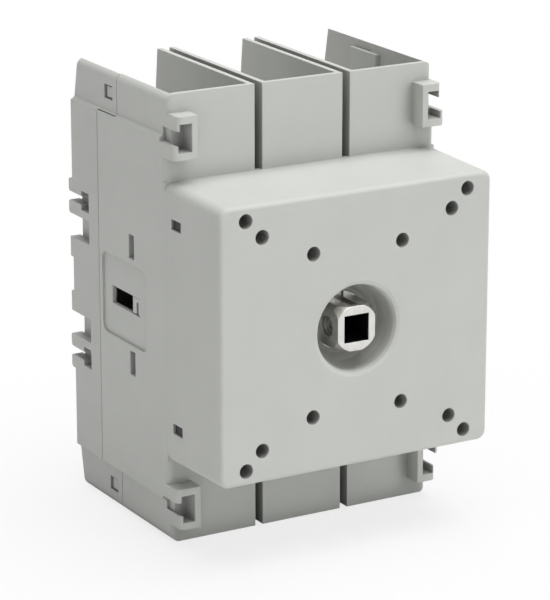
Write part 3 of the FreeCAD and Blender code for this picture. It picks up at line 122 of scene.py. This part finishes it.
# Metal finishes: colour, stain, roughness, streaks along X, Y and Z, share of the stain
METALS = {
    "die_cast_zinc": ((0.72, 0.71, 0.68), (0.5, 0.49, 0.47), 0.3, (300.0, 40.0, 300.0), 0.25),
    "blackened_steel": ((0.42, 0.42, 0.41), (0.25, 0.22, 0.19), 0.3, (900.0, 900.0, 900.0), 0.3),
    "spring_steel": ((0.42, 0.42, 0.43), (0.3, 0.27, 0.24), 0.3, (900.0, 200.0, 900.0), 0.3),
    "bronze": ((0.55, 0.38, 0.18), (0.3, 0.2, 0.12), 0.4, (500.0, 900.0, 500.0), 0.3),
    "bright_steel": ((0.62, 0.62, 0.61), (0.45, 0.43, 0.4), 0.3, (120.0, 1500.0, 1500.0), 0.3),
    "contact_copper": ((0.78, 0.42, 0.27), (0.45, 0.24, 0.16), 0.28, (1600.0, 1600.0, 60.0), 0.3),
    "contact_silver": ((0.85, 0.84, 0.8), (0.6, 0.58, 0.55), 0.35, (700.0, 700.0, 700.0), 0.3),
    "tinned_copper": ((0.74, 0.73, 0.69), (0.6, 0.57, 0.5), 0.34, (1700.0, 1700.0, 50.0), 0.3),
    "zinc_plated_steel": ((0.66, 0.67, 0.68), (0.6, 0.57, 0.42), 0.26, (800.0, 150.0, 800.0), 0.4),
}
BUMP_DEPTH_OF_METAL = 0.02


def add_camera():
    data = bpy.data.cameras.new("photo_camera")
    data.lens = CAMERA_LENS
    data.sensor_width = CAMERA_SENSOR
    data.clip_start = 0.05
    data.clip_end = 50.0
    camera = bpy.data.objects.new("photo_camera", data)
    scene.collection.objects.link(camera)
    ahead = Vector((math.sin(CAMERA_YAW) * math.cos(CAMERA_PITCH),
                    math.cos(CAMERA_YAW) * math.cos(CAMERA_PITCH),
                    -math.sin(CAMERA_PITCH)))
    camera.location = CAMERA_PLACE
    camera.rotation_euler = ahead.to_track_quat("-Z", "Y").to_euler()
    scene.camera = camera


# Shader building blocks
def new_group(name, inputs, outputs):
    """Node group with its named sockets; returns the tree and its two end nodes."""
    tree = bpy.data.node_groups.new(name, "ShaderNodeTree")
    for label, kind, value in inputs:
        socket = tree.interface.new_socket(label, in_out="INPUT", socket_type=kind)
        socket.default_value = value
    for label, kind in outputs:
        tree.interface.new_socket(label, in_out="OUTPUT", socket_type=kind)
    return tree, tree.nodes.new("NodeGroupInput"), tree.nodes.new("NodeGroupOutput")


def noise(tree, vector, scale, detail, rough):
    node = tree.nodes.new("ShaderNodeTexNoise")
    node.inputs["Detail"].default_value = detail
    node.inputs["Roughness"].default_value = rough
    tree.links.new(vector, node.inputs["Vector"])
    if hasattr(scale, "is_linked"):
        tree.links.new(scale, node.inputs["Scale"])
    else:
        node.inputs["Scale"].default_value = scale
    return node.outputs["Fac"]


def remap(tree, value, low, high, to_low, to_high):
    node = tree.nodes.new("ShaderNodeMapRange")
    tree.links.new(value, node.inputs["Value"])
    for label, number in (("From Min", low), ("From Max", high), ("To Min", to_low), ("To Max", to_high)):
        if hasattr(number, "is_linked"):
            tree.links.new(number, node.inputs[label])
        else:
            node.inputs[label].default_value = number
    return node.outputs["Result"]


def math_node(tree, operation, a, b):
    node = tree.nodes.new("ShaderNodeMath")
    node.operation = operation
    for socket, value in zip(node.inputs, (a, b)):
        if hasattr(value, "is_linked"):
            tree.links.new(value, socket)
        else:
            socket.default_value = value
    return node.outputs["Value"]


def mix_colour(tree, factor, a, b, blend="MIX"):
    node = tree.nodes.new("ShaderNodeMix")
    node.data_type = "RGBA"
    node.blend_type = blend
    for socket, value in ((node.inputs[0], factor), (node.inputs[6], a), (node.inputs[7], b)):
        if hasattr(value, "is_linked"):
            tree.links.new(value, socket)
        else:
            socket.default_value = value
    return node.outputs[2]


def object_point(tree):
    return tree.nodes.new("ShaderNodeTexCoord").outputs["Object"]


def painted_crevice_shade(tree, reach, darkest):
    """Painted shade: a factor that falls from one towards the given value in narrow and deep places."""
    node = tree.nodes.new("ShaderNodeAmbientOcclusion")
    node.samples = 6
    node.inputs["Distance"].default_value = reach * MM
    return remap(tree, node.outputs["AO"], 0.2, 0.9, darkest, 1.0)


def stretched(tree, vector, scale):
    node = tree.nodes.new("ShaderNodeMapping")
    node.inputs["Scale"].default_value = scale
    tree.links.new(vector, node.inputs["Vector"])
    return node.outputs["Vector"]


def make_moulded_skin():
    """Fine spark-eroded grain, slow drift of the colour, paler edges where it is handled and painted shade
    in narrow places.
    """
    tree, source, target = new_group(
        "moulded_skin",
        [("Colour", "NodeSocketColor", (0.6, 0.6, 0.6, 1.0)), ("Grain Scale", "NodeSocketFloat", 5200.0),
         ("Drift", "NodeSocketFloat", 0.03), ("Roughness", "NodeSocketFloat", 0.5),
         ("Edge Light", "NodeSocketFloat", 0.12), ("Crevice Shade", "NodeSocketFloat", 0.6)],
        [("Colour", "NodeSocketColor"), ("Roughness", "NodeSocketFloat"), ("Height", "NodeSocketFloat"),
         ("Soft Normal", "NodeSocketVector")])
    point = object_point(tree)
    grain = noise(tree, point, source.outputs["Grain Scale"], 3.0, 0.6)
    pits = tree.nodes.new("ShaderNodeTexVoronoi")
    pits.inputs["Scale"].default_value = PIT_SCALE
    tree.links.new(point, pits.inputs["Vector"])
    drift = noise(tree, point, DRIFT_SCALE, 4.0, 0.55)
    flow = noise(tree, stretched(tree, point, (1.0, 0.35, 0.6)), FLOW_SCALE, 3.0, 0.6)

    # Corners are found from the difference between the true and the softened normal
    soft = tree.nodes.new("ShaderNodeBevel")
    soft.samples = 4
    soft.inputs["Radius"].default_value = MOULDED_EDGE * MM
    wide = tree.nodes.new("ShaderNodeBevel")
    wide.samples = 4
    wide.inputs["Radius"].default_value = MOULDED_WEAR * MM
    geometry = tree.nodes.new("ShaderNodeNewGeometry")
    facing = tree.nodes.new("ShaderNodeVectorMath")
    facing.operation = "DOT_PRODUCT"
    tree.links.new(wide.outputs["Normal"], facing.inputs[0])
    tree.links.new(geometry.outputs["True Normal"], facing.inputs[1])
    edge = remap(tree, facing.outputs["Value"], 0.985, 0.75, 0.0, 1.0)
    edge = math_node(tree, "MULTIPLY", edge, remap(tree, flow, 0.3, 0.7, 0.35, 1.0))

    low = math_node(tree, "SUBTRACT", 1.0, source.outputs["Drift"])
    high = math_node(tree, "ADD", 1.0, source.outputs["Drift"])
    shade = remap(tree, drift, 0.3, 0.7, low, high)
    speck = remap(tree, grain, 0.35, 0.65, 0.975, 1.025)
    level = math_node(tree, "MULTIPLY", shade, speck)
    # Painted shade: the colour darkens in narrow and deep places
    level = math_node(tree, "MULTIPLY", level, painted_crevice_shade(tree, PLASTIC_SHADE_REACH, source.outputs["Crevice Shade"]))
    grey = tree.nodes.new("ShaderNodeCombineColor")
    for socket in grey.inputs:
        tree.links.new(level, socket)
    tinted = mix_colour(tree, 1.0, source.outputs["Colour"], grey.outputs["Color"], "MULTIPLY")
    lit = math_node(tree, "MULTIPLY", edge, source.outputs["Edge Light"])
    tree.links.new(mix_colour(tree, lit, tinted, (0.93, 0.94, 0.93, 1.0)), target.inputs["Colour"])
    rough = math_node(tree, "ADD", source.outputs["Roughness"], remap(tree, flow, 0.25, 0.75, -0.05, 0.06))
    tree.links.new(math_node(tree, "SUBTRACT", rough, math_node(tree, "MULTIPLY", edge, 0.08)),
                   target.inputs["Roughness"])
    height = math_node(tree, "ADD", math_node(tree, "MULTIPLY", grain, 0.6),
                       math_node(tree, "MULTIPLY", pits.outputs["Distance"], 0.4))
    height = math_node(tree, "ADD", height, math_node(tree, "MULTIPLY", flow, 0.5))
    tree.links.new(height, target.inputs["Height"])
    tree.links.new(soft.outputs["Normal"], target.inputs["Soft Normal"])
    return tree


def make_metal_skin():
    """Drawn or machined metal: fine streaks along one direction, dull patches, bright edges and painted
    shade in narrow places.
    """
    tree, source, target = new_group(
        "metal_skin",
        [("Colour", "NodeSocketColor", (0.7, 0.7, 0.7, 1.0)),
         ("Stain", "NodeSocketColor", (0.5, 0.5, 0.5, 1.0)),
         ("Stain Share", "NodeSocketFloat", 0.3), ("Roughness", "NodeSocketFloat", 0.3),
         ("Streaks", "NodeSocketVector", (1.0, 1.0, 1.0)), ("Streak Depth", "NodeSocketFloat", 0.5),
         ("Crevice Shade", "NodeSocketFloat", 0.45)],
        [("Colour", "NodeSocketColor"), ("Roughness", "NodeSocketFloat"), ("Height", "NodeSocketFloat"),
         ("Soft Normal", "NodeSocketVector")])
    point = object_point(tree)
    scaled = tree.nodes.new("ShaderNodeVectorMath")
    scaled.operation = "MULTIPLY"
    tree.links.new(point, scaled.inputs[0])
    tree.links.new(source.outputs["Streaks"], scaled.inputs[1])
    streak = noise(tree, scaled.outputs["Vector"], 1.0, 3.0, 0.6)
    patch = noise(tree, point, PATCH_SCALE, 5.0, 0.6)
    fine = noise(tree, point, FINE_SCALE, 2.0, 0.5)
    soft = tree.nodes.new("ShaderNodeBevel")
    soft.samples = 4
    soft.inputs["Radius"].default_value = METAL_EDGE * MM
    geometry = tree.nodes.new("ShaderNodeNewGeometry")
    facing = tree.nodes.new("ShaderNodeVectorMath")
    facing.operation = "DOT_PRODUCT"
    tree.links.new(soft.outputs["Normal"], facing.inputs[0])
    tree.links.new(geometry.outputs["True Normal"], facing.inputs[1])
    edge = remap(tree, facing.outputs["Value"], 0.99, 0.8, 0.0, 1.0)
    stained = remap(tree, patch, 0.4, 0.68, 0.0, 1.0)
    stain = math_node(tree, "MULTIPLY", stained, source.outputs["Stain Share"])
    base = mix_colour(tree, stain, source.outputs["Colour"], source.outputs["Stain"])
    level = remap(tree, streak, 0.3, 0.7, 0.93, 1.06)
    # Painted shade: the colour darkens in narrow and deep places
    level = math_node(tree, "MULTIPLY", level, painted_crevice_shade(tree, METAL_SHADE_REACH, source.outputs["Crevice Shade"]))
    grey = tree.nodes.new("ShaderNodeCombineColor")
    for socket in grey.inputs:
        tree.links.new(level, socket)
    base = mix_colour(tree, 1.0, base, grey.outputs["Color"], "MULTIPLY")
    tree.links.new(mix_colour(tree, math_node(tree, "MULTIPLY", edge, 0.35), base, (0.92, 0.92, 0.9, 1.0)),
                   target.inputs["Colour"])
    rough = math_node(tree, "ADD", source.outputs["Roughness"], remap(tree, patch, 0.3, 0.7, -0.06, 0.1))
    rough = math_node(tree, "ADD", rough, remap(tree, streak, 0.3, 0.7, -0.03, 0.05))
    tree.links.new(rough, target.inputs["Roughness"])
    height = math_node(tree, "MULTIPLY", streak, source.outputs["Streak Depth"])
    height = math_node(tree, "ADD", height, math_node(tree, "MULTIPLY", fine, 0.25))
    tree.links.new(height, target.inputs["Height"])
    tree.links.new(soft.outputs["Normal"], target.inputs["Soft Normal"])
    return tree


MOULDED_SKIN = make_moulded_skin()
METAL_SKIN = make_metal_skin()


def start_material(name, skin, values, metallic, specular, bump_depth):
    """Principled surface fed by one of the two skins."""
    material = bpy.data.materials.new(name)
    material.use_nodes = True
    tree = material.node_tree
    surface = tree.nodes["Principled BSDF"]
    surface.inputs["Metallic"].default_value = metallic
    surface.inputs["Specular IOR Level"].default_value = specular
    group = tree.nodes.new("ShaderNodeGroup")
    group.node_tree = skin
    for label, value in values.items():
        group.inputs[label].default_value = value
    bump = tree.nodes.new("ShaderNodeBump")
    bump.inputs["Strength"].default_value = 1.0
    bump.inputs["Distance"].default_value = bump_depth * MM
    tree.links.new(group.outputs["Colour"], surface.inputs["Base Color"])
    tree.links.new(group.outputs["Roughness"], surface.inputs["Roughness"])
    tree.links.new(group.outputs["Height"], bump.inputs["Height"])
    tree.links.new(group.outputs["Soft Normal"], bump.inputs["Normal"])
    tree.links.new(bump.outputs["Normal"], surface.inputs["Normal"])
    return material


def plastic(name, colour, roughness, drift, edge_light, depth):
    values = {"Colour": (*colour, 1.0), "Roughness": roughness, "Drift": drift, "Edge Light": edge_light}
    return start_material(name, MOULDED_SKIN, values, 0.0, 0.4, depth)


def metal(name, colour, stain, roughness, streaks, share):
    values = {"Colour": (*colour, 1.0), "Stain": (*stain, 1.0), "Stain Share": share,
              "Roughness": roughness, "Streaks": streaks}
    return start_material(name, METAL_SKIN, values, 1.0, 0.5, BUMP_DEPTH_OF_METAL)


def paint_socket_shade(material):
    """Painted shade inside the square socket: near-black, dull colour, found by place on the shaft."""
    tree = material.node_tree
    surface = tree.nodes["Principled BSDF"]
    place = tree.nodes.new("ShaderNodeSeparateXYZ")
    tree.links.new(object_point(tree), place.inputs[0])
    aside = math_node(tree, "MAXIMUM", math_node(tree, "ABSOLUTE", place.outputs["X"], 0.0),
                      math_node(tree, "ABSOLUTE", place.outputs["Z"], 0.0))
    inside = math_node(tree, "LESS_THAN", aside, SOCKET_HALF * MM)
    behind = remap(tree, place.outputs["Y"], SOCKET_FRONT * MM, (SOCKET_FRONT + 0.5) * MM, 0.0, 1.0)
    ahead = math_node(tree, "LESS_THAN", place.outputs["Y"], SOCKET_REAR * MM)
    mask = math_node(tree, "MULTIPLY", math_node(tree, "MULTIPLY", inside, behind), ahead)
    # Painted shade: near-black colour and high roughness inside the socket
    for label, dark in (("Base Color", (0.012, 0.012, 0.012, 1.0)), ("Roughness", (0.7, 0.7, 0.7, 1.0))):
        clean = surface.inputs[label].links[0].from_socket
        tree.links.new(mix_colour(tree, mask, clean, dark), surface.inputs[label])


FINISHES = {name: plastic(name, *look) for name, look in PLASTICS.items()}
FINISHES.update({name: metal(name, *look) for name, look in METALS.items()})
paint_socket_shade(FINISHES["die_cast_zinc"])
SLOTS = {row["node"]: row["material_slot"] for row in frame["record"]["subparts"]}


def finish_nodes():
    """Every carried-over node gets the finish of its slot."""
    for name, node in frame["nodes"].items():
        material = FINISHES[SLOTS[name]]
        node.data.materials.clear()
        node.data.materials.append(material)


# Pieces made in mesh code
def polar_piece(bm, centre, levels):
    """Rings about a Y axis through centre; each level is (y, radius function of the angle)."""
    rings = []
    for y, radius in levels:
        ring = []
        for i in range(RING_STEPS):
            angle = 2 * math.pi * i / RING_STEPS
            r = radius(angle)
            ring.append(bm.verts.new(((centre[0] + r * math.sin(angle)) * MM, y * MM,
                                      (centre[1] + r * math.cos(angle)) * MM)))
        rings.append(ring)
    for first, second in zip(rings, rings[1:]):
        for i in range(RING_STEPS):
            j = (i + 1) % RING_STEPS
            bm.faces.new((first[i], first[j], second[j], second[i]))
    return rings


def as_object(name, bm, slot, body):
    bmesh.ops.recalc_face_normals(bm, faces=bm.faces)
    mesh = bpy.data.meshes.new(name)
    bm.to_mesh(mesh)
    bm.free()
    mesh.materials.append(FINISHES[slot])
    obj = bpy.data.objects.new(name, mesh)
    scene.collection.objects.link(obj)
    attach(obj, body)
    return obj


def round_radius(radius):
    return lambda angle: radius


def hex_radius(across, limit=None):
    def radius(angle):
        flat = (angle % (math.pi / 3)) - math.pi / 6
        r = across / 2 / math.cos(flat)
        return r if limit is None else min(r, limit)
    return radius


# Pieces repeated with nodes
def thread_tree():
    """Ridges of a screw thread: rings on a line along Y, repeated at every point of the input."""
    tree = bpy.data.node_groups.new("thread_ridges", "GeometryNodeTree")
    sockets = tree.interface
    sockets.new_socket("Geometry", in_out="INPUT", socket_type="NodeSocketGeometry")
    for label, value in (("Radius", 0.004), ("Pitch", 0.00125), ("Ridge", 0.00035)):
        sockets.new_socket(label, in_out="INPUT", socket_type="NodeSocketFloat").default_value = value
    sockets.new_socket("Turns", in_out="INPUT", socket_type="NodeSocketInt").default_value = 8
    sockets.new_socket("Finish", in_out="INPUT", socket_type="NodeSocketMaterial")
    sockets.new_socket("Geometry", in_out="OUTPUT", socket_type="NodeSocketGeometry")
    nodes, link = tree.nodes, tree.links.new
    source, target = nodes.new("NodeGroupInput"), nodes.new("NodeGroupOutput")
    circle = nodes.new("GeometryNodeCurvePrimitiveCircle")
    circle.inputs["Resolution"].default_value = 40
    link(source.outputs["Radius"], circle.inputs["Radius"])
    profile = nodes.new("GeometryNodeCurvePrimitiveCircle")
    profile.inputs["Resolution"].default_value = 6
    link(source.outputs["Ridge"], profile.inputs["Radius"])
    ring = nodes.new("GeometryNodeCurveToMesh")
    link(circle.outputs["Curve"], ring.inputs["Curve"])
    link(profile.outputs["Curve"], ring.inputs["Profile Curve"])
    upright = nodes.new("GeometryNodeTransform")
    upright.inputs["Rotation"].default_value = (math.pi / 2, 0.0, 0.0)
    link(ring.outputs["Mesh"], upright.inputs["Geometry"])
    step = nodes.new("ShaderNodeCombineXYZ")
    link(source.outputs["Pitch"], step.inputs["Y"])
    line = nodes.new("GeometryNodeMeshLine")
    link(source.outputs["Turns"], line.inputs["Count"])
    link(step.outputs["Vector"], line.inputs["Offset"])
    ridges = nodes.new("GeometryNodeInstanceOnPoints")
    link(line.outputs["Mesh"], ridges.inputs["Points"])
    link(upright.outputs["Geometry"], ridges.inputs["Instance"])
    shank = nodes.new("GeometryNodeRealizeInstances")
    link(ridges.outputs["Instances"], shank.inputs["Geometry"])
    bolts = nodes.new("GeometryNodeInstanceOnPoints")
    link(source.outputs["Geometry"], bolts.inputs["Points"])
    link(shank.outputs["Geometry"], bolts.inputs["Instance"])
    whole = nodes.new("GeometryNodeRealizeInstances")
    link(bolts.outputs["Instances"], whole.inputs["Geometry"])
    painted = nodes.new("GeometryNodeSetMaterial")
    link(whole.outputs["Geometry"], painted.inputs["Geometry"])
    link(source.outputs["Finish"], painted.inputs["Material"])
    link(painted.outputs["Geometry"], target.inputs["Geometry"])
    return tree


THREAD_TREE = thread_tree()


def grow_on_points(name, places, tree, values, slot, body):
    """Run a repeat tree on bare points, given in millimetres, and keep the result as a plain mesh."""
    seed = bpy.data.meshes.new(name + "_seed")
    seed.from_pydata([Vector(place) * MM for place in places], [], [])
    carrier = bpy.data.objects.new(name + "_seed", seed)
    scene.collection.objects.link(carrier)
    modifier = carrier.modifiers.new("repeat", "NODES")
    modifier.node_group = tree
    values = dict(values, Finish=FINISHES[slot])
    for item in tree.interface.items_tree:
        if item.in_out == "INPUT" and item.name in values:
            modifier[item.identifier] = values[item.name]
    bpy.context.view_layer.update()
    grown = carrier.evaluated_get(bpy.context.evaluated_depsgraph_get())
    mesh = bpy.data.meshes.new_from_object(grown)
    mesh.name = name
    carrier.modifiers.remove(modifier)
    bpy.data.objects.remove(carrier)
    obj = bpy.data.objects.new(name, mesh)
    scene.collection.objects.link(obj)
    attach(obj, body)


def threads(name, places, radius, pitch, turns, slot, body):
    """Thread ridges that start at each place, given in millimetres."""
    values = {"Radius": radius * MM, "Pitch": pitch * MM, "Ridge": pitch * 0.3 * MM, "Turns": turns}
    grow_on_points(name, places, THREAD_TREE, values, slot, body)


def mark_tree():
    """Low round pads with a softened rim, as ejector pins leave them, one at every point."""
    tree = bpy.data.node_groups.new("ejector_marks", "GeometryNodeTree")
    sockets = tree.interface
    sockets.new_socket("Geometry", in_out="INPUT", socket_type="NodeSocketGeometry")
    for label, value in (("Radius", 0.0025), ("Height", 0.00012)):
        sockets.new_socket(label, in_out="INPUT", socket_type="NodeSocketFloat").default_value = value
    sockets.new_socket("Finish", in_out="INPUT", socket_type="NodeSocketMaterial")
    sockets.new_socket("Geometry", in_out="OUTPUT", socket_type="NodeSocketGeometry")
    nodes, link = tree.nodes, tree.links.new
    source, target = nodes.new("NodeGroupInput"), nodes.new("NodeGroupOutput")
    smaller = nodes.new("ShaderNodeMath")
    smaller.operation = "MULTIPLY"
    smaller.inputs[1].default_value = 0.93
    link(source.outputs["Radius"], smaller.inputs[0])
    pad = nodes.new("GeometryNodeMeshCone")
    pad.inputs["Vertices"].default_value = 40
    link(smaller.outputs["Value"], pad.inputs["Radius Top"])
    link(source.outputs["Radius"], pad.inputs["Radius Bottom"])
    link(source.outputs["Height"], pad.inputs["Depth"])
    turned = nodes.new("GeometryNodeTransform")
    turned.inputs["Rotation"].default_value = (-math.pi / 2, 0.0, 0.0)
    link(pad.outputs["Mesh"], turned.inputs["Geometry"])
    marks = nodes.new("GeometryNodeInstanceOnPoints")
    link(source.outputs["Geometry"], marks.inputs["Points"])
    link(turned.outputs["Geometry"], marks.inputs["Instance"])
    whole = nodes.new("GeometryNodeRealizeInstances")
    link(marks.outputs["Instances"], whole.inputs["Geometry"])
    painted = nodes.new("GeometryNodeSetMaterial")
    link(whole.outputs["Geometry"], painted.inputs["Geometry"])
    link(source.outputs["Finish"], painted.inputs["Material"])
    link(painted.outputs["Geometry"], target.inputs["Geometry"])
    return tree


def add_moulding_marks():
    """Ejector pin marks on the rear plate of the base."""
    grow_on_points("base_ejector_marks", MARKS, mark_tree(),
                   {"Radius": MARK_RADIUS * MM, "Height": MARK_HEIGHT * MM},
                   "base_grey_plastic", "base")


def add_bolt_details():
    """Bolts with a chamfered, dished head in place of the plain ones, and their thread ridges."""
    hexagon = hex_radius(HEX_ACROSS)
    head = [(HEAD_FRONT, round_radius(SHANK_RADIUS + 0.4)),
            (HEAD_FRONT, round_radius(BEARING_RADIUS - 0.2)),
            (HEAD_FRONT + 0.35, round_radius(BEARING_RADIUS)), (HEAD_FRONT + 0.45, hexagon),
            (HEAD_REAR - 0.75, hexagon), (HEAD_REAR - 0.3, hex_radius(HEX_ACROSS, HEX_CORNER)),
            (HEAD_REAR, round_radius(CROWN_RADIUS)), (HEAD_REAR, round_radius(DISH_RADIUS)),
            (HEAD_REAR - DISH_DEPTH, round_radius(DISH_RADIUS - 0.3)),
            (HEAD_REAR - DISH_DEPTH, round_radius(0.6))]
    shank = [(HEAD_FRONT, round_radius(SHANK_RADIUS + 0.4)), (HEAD_FRONT, round_radius(SHANK_RADIUS)),
             (SHANK_FRONT + 0.4, round_radius(SHANK_RADIUS)),
             (SHANK_FRONT, round_radius(SHANK_RADIUS - 0.5))]
    bm = bmesh.new()
    for place in STUDS:
        for levels in (head, shank):
            rings = polar_piece(bm, place, levels)
            bm.faces.new(rings[-1])
    bolts = as_object("hex_bolts", bm, "zinc_plated_steel", "base")
    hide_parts("terminal_bolts")
    threads("bolt_threads", [(x, SHANK_FRONT + 0.6, z) for x, z in STUDS],
            THREAD_RADIUS, THREAD_PITCH, THREAD_TURNS, "zinc_plated_steel", "base")


def add_floor():
    """Pale floor just under the switch."""
    floor_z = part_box("front_housing")[0][2] - FLOOR_GAP
    bm = bmesh.new()
    bmesh.ops.create_grid(bm, x_segments=1, y_segments=1, size=FLOOR_REACH)
    mesh = bpy.data.meshes.new("studio_floor")
    bm.to_mesh(mesh)
    bm.free()
    floor = bpy.data.objects.new("studio_floor", mesh)
    floor.location = (0.0, 0.0, floor_z)
    scene.collection.objects.link(floor)
    material = bpy.data.materials.new("studio_floor")
    material.use_nodes = True
    surface = material.node_tree.nodes["Principled BSDF"]
    surface.inputs["Base Color"].default_value = (0.86, 0.86, 0.86, 1.0)
    surface.inputs["Roughness"].default_value = 0.9
    surface.inputs["Specular IOR Level"].default_value = 0.1
    # Away from the object the camera sees the floor as plain white paper
    tree = material.node_tree
    distance = tree.nodes.new("ShaderNodeVectorMath")
    distance.operation = "LENGTH"
    tree.links.new(tree.nodes.new("ShaderNodeTexCoord").outputs["Object"], distance.inputs[0])
    paper = remap(tree, distance.outputs["Value"], PAPER_NEAR, PAPER_FAR, 0.76, 1.0)
    path = tree.nodes.new("ShaderNodeLightPath")
    paper = math_node(tree, "MULTIPLY", paper, path.outputs["Is Camera Ray"])
    white = tree.nodes.new("ShaderNodeEmission")
    white.inputs["Color"].default_value = (1.0, 1.0, 1.0, 1.0)
    white.inputs["Strength"].default_value = 1.0
    blend = tree.nodes.new("ShaderNodeMixShader")
    tree.links.new(paper, blend.inputs[0])
    tree.links.new(surface.outputs[0], blend.inputs[1])
    tree.links.new(white.outputs[0], blend.inputs[2])
    tree.links.new(blend.outputs[0], tree.nodes["Material Output"].inputs["Surface"])
    mesh.materials.append(material)


def add_lights():
    """White surroundings that are seen but light only weakly, and the softboxes."""
    world = bpy.data.worlds.new("studio")
    scene.world = world
    world.use_nodes = True
    tree = world.node_tree
    tree.nodes.clear()
    output = tree.nodes.new("ShaderNodeOutputWorld")
    seen = tree.nodes.new("ShaderNodeBackground")
    seen.inputs["Color"].default_value = (1.0, 1.0, 1.0, 1.0)
    seen.inputs["Strength"].default_value = 1.0
    fill = tree.nodes.new("ShaderNodeBackground")
    fill.inputs["Color"].default_value = (1.0, 1.0, 1.0, 1.0)
    fill.inputs["Strength"].default_value = FILL_STRENGTH
    path = tree.nodes.new("ShaderNodeLightPath")
    shown = math_node(tree, "MAXIMUM", path.outputs["Is Camera Ray"], path.outputs["Is Glossy Ray"])
    shown = math_node(tree, "MAXIMUM", shown, path.outputs["Is Transmission Ray"])
    mix = tree.nodes.new("ShaderNodeMixShader")
    tree.links.new(shown, mix.inputs[0])
    tree.links.new(fill.outputs[0], mix.inputs[1])
    tree.links.new(seen.outputs[0], mix.inputs[2])
    tree.links.new(mix.outputs[0], output.inputs["Surface"])

    for name, place, aim, size, power in LIGHTS:
        data = bpy.data.lights.new(name, "AREA")
        data.shape = "RECTANGLE"
        data.size, data.size_y = size
        data.energy = power
        lamp = bpy.data.objects.new(name, data)
        lamp.location = place
        lamp.rotation_euler = (Vector(aim) - Vector(place)).to_track_quat("-Z", "Y").to_euler()
        scene.collection.objects.link(lamp)


add_camera()
finish_nodes()
add_bolt_details()
add_moulding_marks()
add_floor()
add_lights()
scene.view_settings.view_transform = "Standard"
